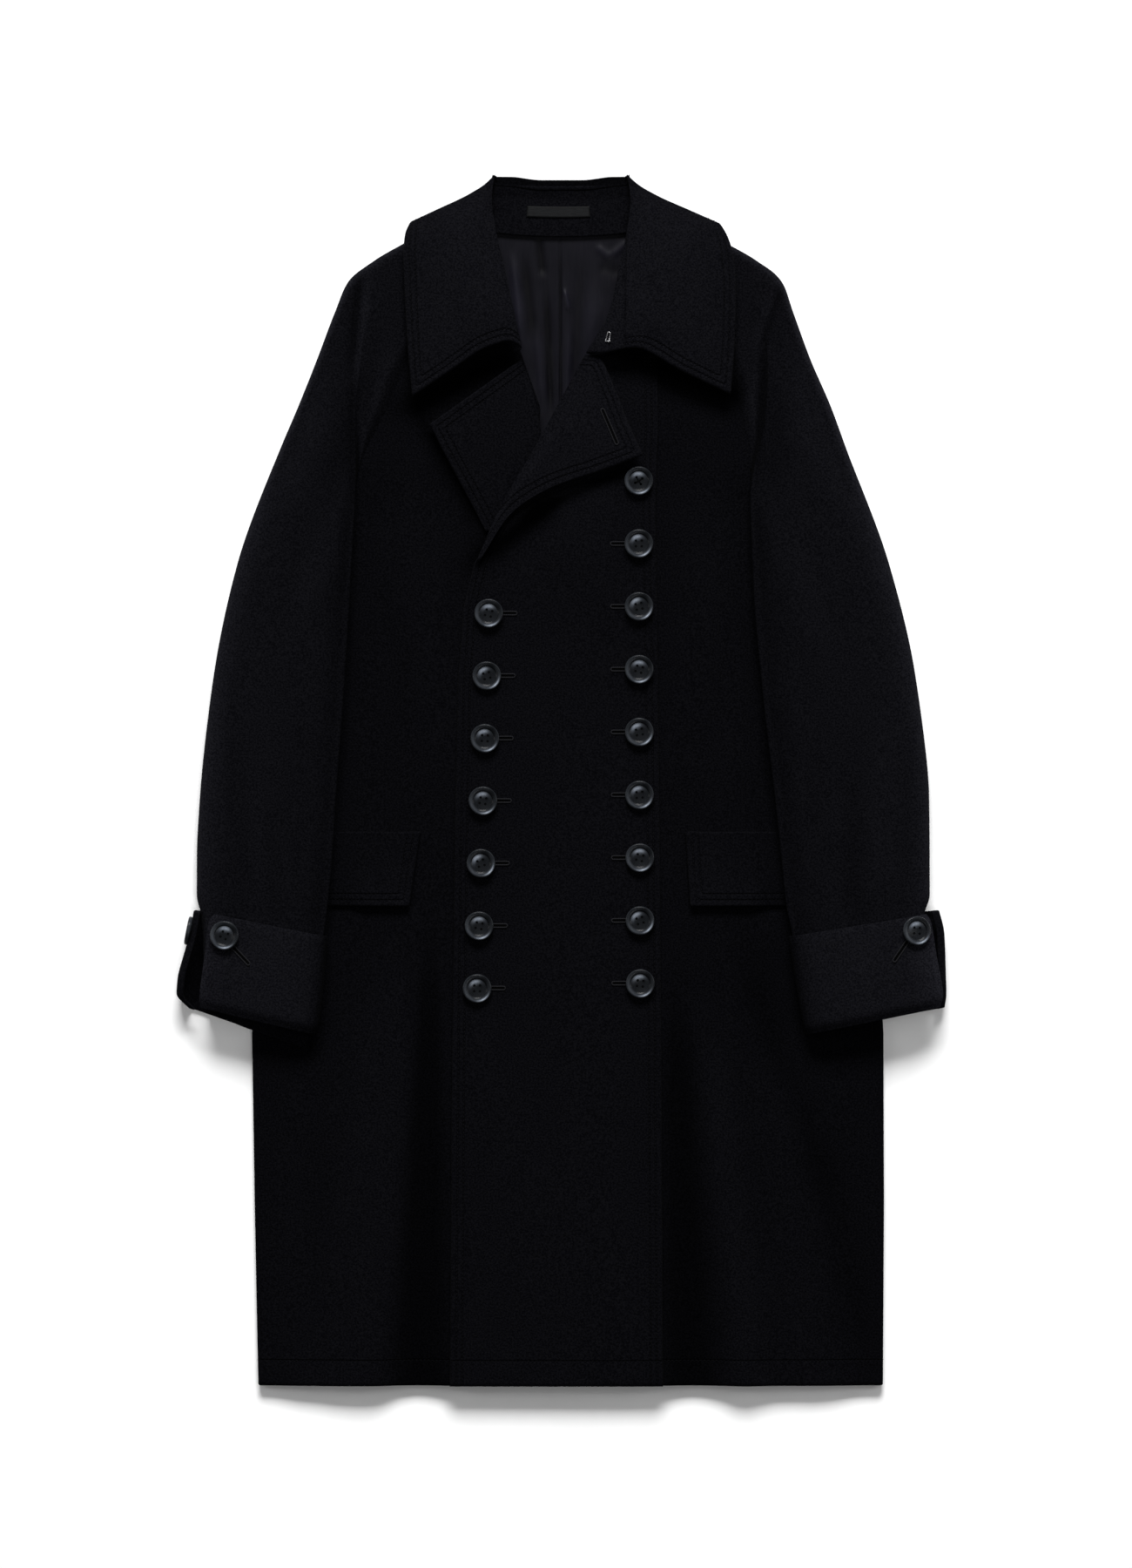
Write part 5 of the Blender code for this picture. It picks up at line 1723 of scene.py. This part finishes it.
# Back, fronts and panel
wool("back", back_grid(*GRIDS["back"]), level=SLEEVE_LEVEL)
for side, name, out in HANDS:
    front = uneven(front_grid(side, *GRIDS["front"]), "body")
    wool(f"front_{name}", front, out, hem=True, level=fold_level(front), shadow="painted_shadows")
    sew(front, out, "foot", [HEM_ROW])
panel = uneven(panel_grid(*GRIDS["panel"]), "panel")
wool("front_panel", panel, edges=("start", "end"), hem=True, shadow="painted_shadows")
sew(panel, 1.0, "foot", [HEM_ROW])
sew(panel, 1.0, "end")
sew(panel, 1.0, "start", keep=lambda x, y, z: y < BREAK_Y)

# Lapels, collar, stand, label and lining
for name, table, out in (("left", LAPEL_LEFT, 1.0), ("right", LAPEL_RIGHT, -1.0)):
    lapel = uneven(lapel_grid(table, *GRIDS["lapel"]), "lapel")
    wool(f"lapel_{name}", lapel, out, edges=("top", "end"))
    sew(lapel, out, "top", others=("end",))
    sew(lapel, out, "end", others=("top",))
collar = uneven(loft(collar_sections(), *GRIDS["collar"]), "collar", 0.0)
wool("collar", collar, edges=("top", "foot", "end"), seam=FACING_SEAM)
sew(collar, 1.0, "top", others=("end",))
sew(collar, 1.0, "foot", others=("end",), keep=lambda x, y, z: x > FACING_SEAM.x1)
sew(collar, 1.0, "end", others=("top", "foot"))
stand = stand_grid(*GRIDS["stand"]) + STAND_RISE
stand += soft(1.0 - STAND_ROWS / STAND_CREST_SHARE)[:, None, None] * STAND_CREST
wool("collar_stand", stand, level=STAND_LEVEL)
label = label_grid(*GRIDS["label"]) + STAND_RISE
cloth("label", label, LABEL_WALL, LABEL_LOOK, "label", edges=("top", "foot", "start", "end"))
flat_lining = lining_grid(*GRIDS["lining"])
lining = uneven(flat_lining, "lining", 0.0)
# Painted highlights on the satin's ridges and painted shade in its folds, by the height of the creases
satin_painted_light = np.clip(1.0 + SATIN_SHARE * (lining - flat_lining)[..., 2], SATIN_LEAST, SATIN_MOST)
cloth("lining_back", lining, SATIN, SATIN_LOOK, "satin", tone=satin_painted_light)

# Sleeves, raglan seams, cuffs and flaps
for side, name, out in HANDS:
    upper = uneven(softened(loft(sleeve_sections(side), *GRIDS["sleeve"])), f"sleeve_{name}")
    shade = SLEEVE_SHARE * leaning(upper, out, side, SLEEVE_LEVEL)
    wool(f"sleeve_{name}_front", upper, out, tone=shade, flush=("end",))
    add_seam(name, upper, shade, side)
    wool(f"sleeve_{name}_back", sleeve_back_grid(side, *GRIDS["sleeve_back"]), out, level=SLEEVE_LEVEL)
    cuff = uneven(cuff_front_grid(side, *GRIDS["cuff"]), "cuff")
    wool(f"cuff_{name}_front", cuff, out, tone=CUFF_SHARE * leaning(cuff, out, side, CUFF_LEVEL))
    wool(f"cuff_{name}_back", cuff_back_grid(side, *GRIDS["cuff"]), -out, level=CUFF_BACK_LEVEL)
for name, edge, out in (("right", FLAP_RIGHT, 1.0), ("left", FLAP_LEFT, -1.0)):
    flap = uneven(flap_grid(edge, *GRIDS["flap"]), "body")
    wool(f"flap_{name}", flap, out, edges=("end", "foot"))
    sew(flap, out, "end", others=("foot",))
    sew(flap, out, "foot", others=("end",))

# Buttons, buttonholes and topstitching
SPLIT_REACH = 5.0
SPLIT_SINK = 1.5
CUFF_RIGHT_TURN = 98.0
CUFF_LEFT_TURN = 247.0
SPLIT_TURN = 12.0
BUTTON = button_model(RESIN_LOOK, SHANK_LOOK, False)
button_row("left", button_model(RESIN_LOOK, SHANK_LOOK, True), BUTTON, -1.0, **LEFT_ROW)
button_row("right", BUTTON, BUTTON, 1.0, **RIGHT_ROW)
place, lean = seat_on(cuff_front_grid(-1, *GRIDS["button_seat"]), 1.0, *CUFF_RIGHT_BUTTON, HALF_BUTTON)
place_button("button_cuff_right", BUTTON, place, lean, CUFF_RIGHT_TURN)
place, lean = seat_on(cuff_front_grid(1, *GRIDS["button_seat"]), -1.0, *CUFF_LEFT_BUTTON, HALF_BUTTON)
place_button("button_cuff_left", BUTTON, place, lean, CUFF_LEFT_TURN)
place, lean = seat_on(cuff_back_grid(-1, *GRIDS["button_seat"]), -1.0, *SPLIT_RIGHT_BUTTON, SPLIT_REACH)
place -= lean @ Vector((0.0, 0.0, SPLIT_SINK * MM))
place_button("button_split_right", BUTTON, place, lean, SPLIT_TURN)
for hole in HOLES:
    sew_hole(*hole)
piece_of("buttonholes", joined("buttonholes", HOLE_PARTS, [CORD_LOOK, SLIT_LOOK]))
piece_of("topstitching", stitch_mesh("topstitching", THREAD_LOOK))

# Hook: a wire bent into a loop, with a round foot at each end
HOOK_FOOT = 0.8
HOOK_FOOT_TURN = 1.6 * math.pi
HOOK_LOOP = 1.4
HOOK_SIDES = 12
HOOK_FOOT_POINTS = 11
HOOK_BOW_POINTS = 13
HALF_HOOK = 0.5 * HOOK_LONG
place, lean = seat_on(loft(collar_sections(), *GRIDS["hook_seat"]), 1.0, HOOK_X, HOOK_Y, HOOK_Z, HALF_HOOK)
left_foot = [(-HOOK_LOOP - HOOK_FOOT * math.sin(t), -HALF_HOOK + HOOK_FOOT * (1.0 + math.cos(t)))
             for t in np.linspace(HOOK_FOOT_TURN, 0.0, HOOK_FOOT_POINTS)]
path = list(left_foot)
path += [(-HOOK_LOOP * math.cos(t), HALF_HOOK - HOOK_LOOP + HOOK_LOOP * math.sin(t))
         for t in np.linspace(0.0, math.pi, HOOK_BOW_POINTS)]
path += [(-x, y) for x, y in left_foot[::-1]]
wire = np.array([(x, y, HOOK_WIRE) for x, y in path])
bent = tube(wire, HOOK_WIRE, np.array([0.0, 0.0, 1.0]), HOOK_SIDES)
hook_mesh = mesh_of("collar_hook_wire", *bent, WIRE_LOOK)
placed("collar_hook_wire", hook_mesh, "collar_hook", place, lean, HOOK_TURN)

# Floor
FLOOR_HALF = 6000.0
FLOOR_DOWN = 0.5
corners = [(x * FLOOR_HALF, y * FLOOR_HALF, 0.0) for x, y in ((-1, -1), (1, -1), (1, 1), (-1, 1))]
floor = add("studio_floor", mesh_of("studio_floor", corners, [range(4)], floor_material()))
floor.location.z = -FLOOR_DOWN * MM

# Lights, in metres and watts, all aimed at the middle of the coat
Lamp = namedtuple("Lamp", "name x y z wide high power")
LAMPS = [
    Lamp("top_light", 0.0, 8.0, 4.6, 5.0, 2.6, 1750.0),
    Lamp("left_light", -1.6, 0.1, 0.6, 0.4, 1.8, 8.0),
    Lamp("right_light", 1.6, 0.1, 0.6, 0.4, 1.8, 8.0),
    Lamp("over_light", 0.0, 0.9, 3.6, 1.2, 1.2, 3.0),
    Lamp("glint_light", 0.80, -1.05, 3.2, 0.45, 0.45, 12.0),
]
WORLD_STRENGTH = 0.10
for lamp in LAMPS:
    light = bpy.data.lights.new(lamp.name, "AREA")
    light.shape = "RECTANGLE"
    light.size = lamp.wide
    light.size_y = lamp.high
    light.energy = lamp.power
    made = add(lamp.name, light)
    made.location = (lamp.x, lamp.y, lamp.z)
    made.rotation_euler = (-made.location).to_track_quat("-Z", "Y").to_euler()

world = bpy.data.worlds.new("studio")
world.use_nodes = True
world.node_tree.nodes["Background"].inputs["Color"].default_value = (1.0, 1.0, 1.0, 1.0)
world.node_tree.nodes["Background"].inputs["Strength"].default_value = WORLD_STRENGTH
bpy.context.scene.world = world
bpy.context.scene.view_settings.view_transform = "Standard"

# Camera: the photograph is 1300 by 1800 pixels, seen straight down from over its middle
CAMERA_HIGH = 4.0
CAMERA_X = 0.0041
CAMERA_Y = -0.0028
FOCUS_Z = 0.015
PIXEL = 0.82
PIXELS_HIGH = 1800.0
SENSOR = 36.0
camera_data = bpy.data.cameras.new("camera")
camera_data.sensor_width = SENSOR
camera_data.lens = SENSOR * CAMERA_HIGH / (PIXELS_HIGH * PIXEL * MM)
camera = add("camera", camera_data)
camera.location = (CAMERA_X, CAMERA_Y, CAMERA_HIGH + FOCUS_Z)
bpy.context.scene.camera = camera
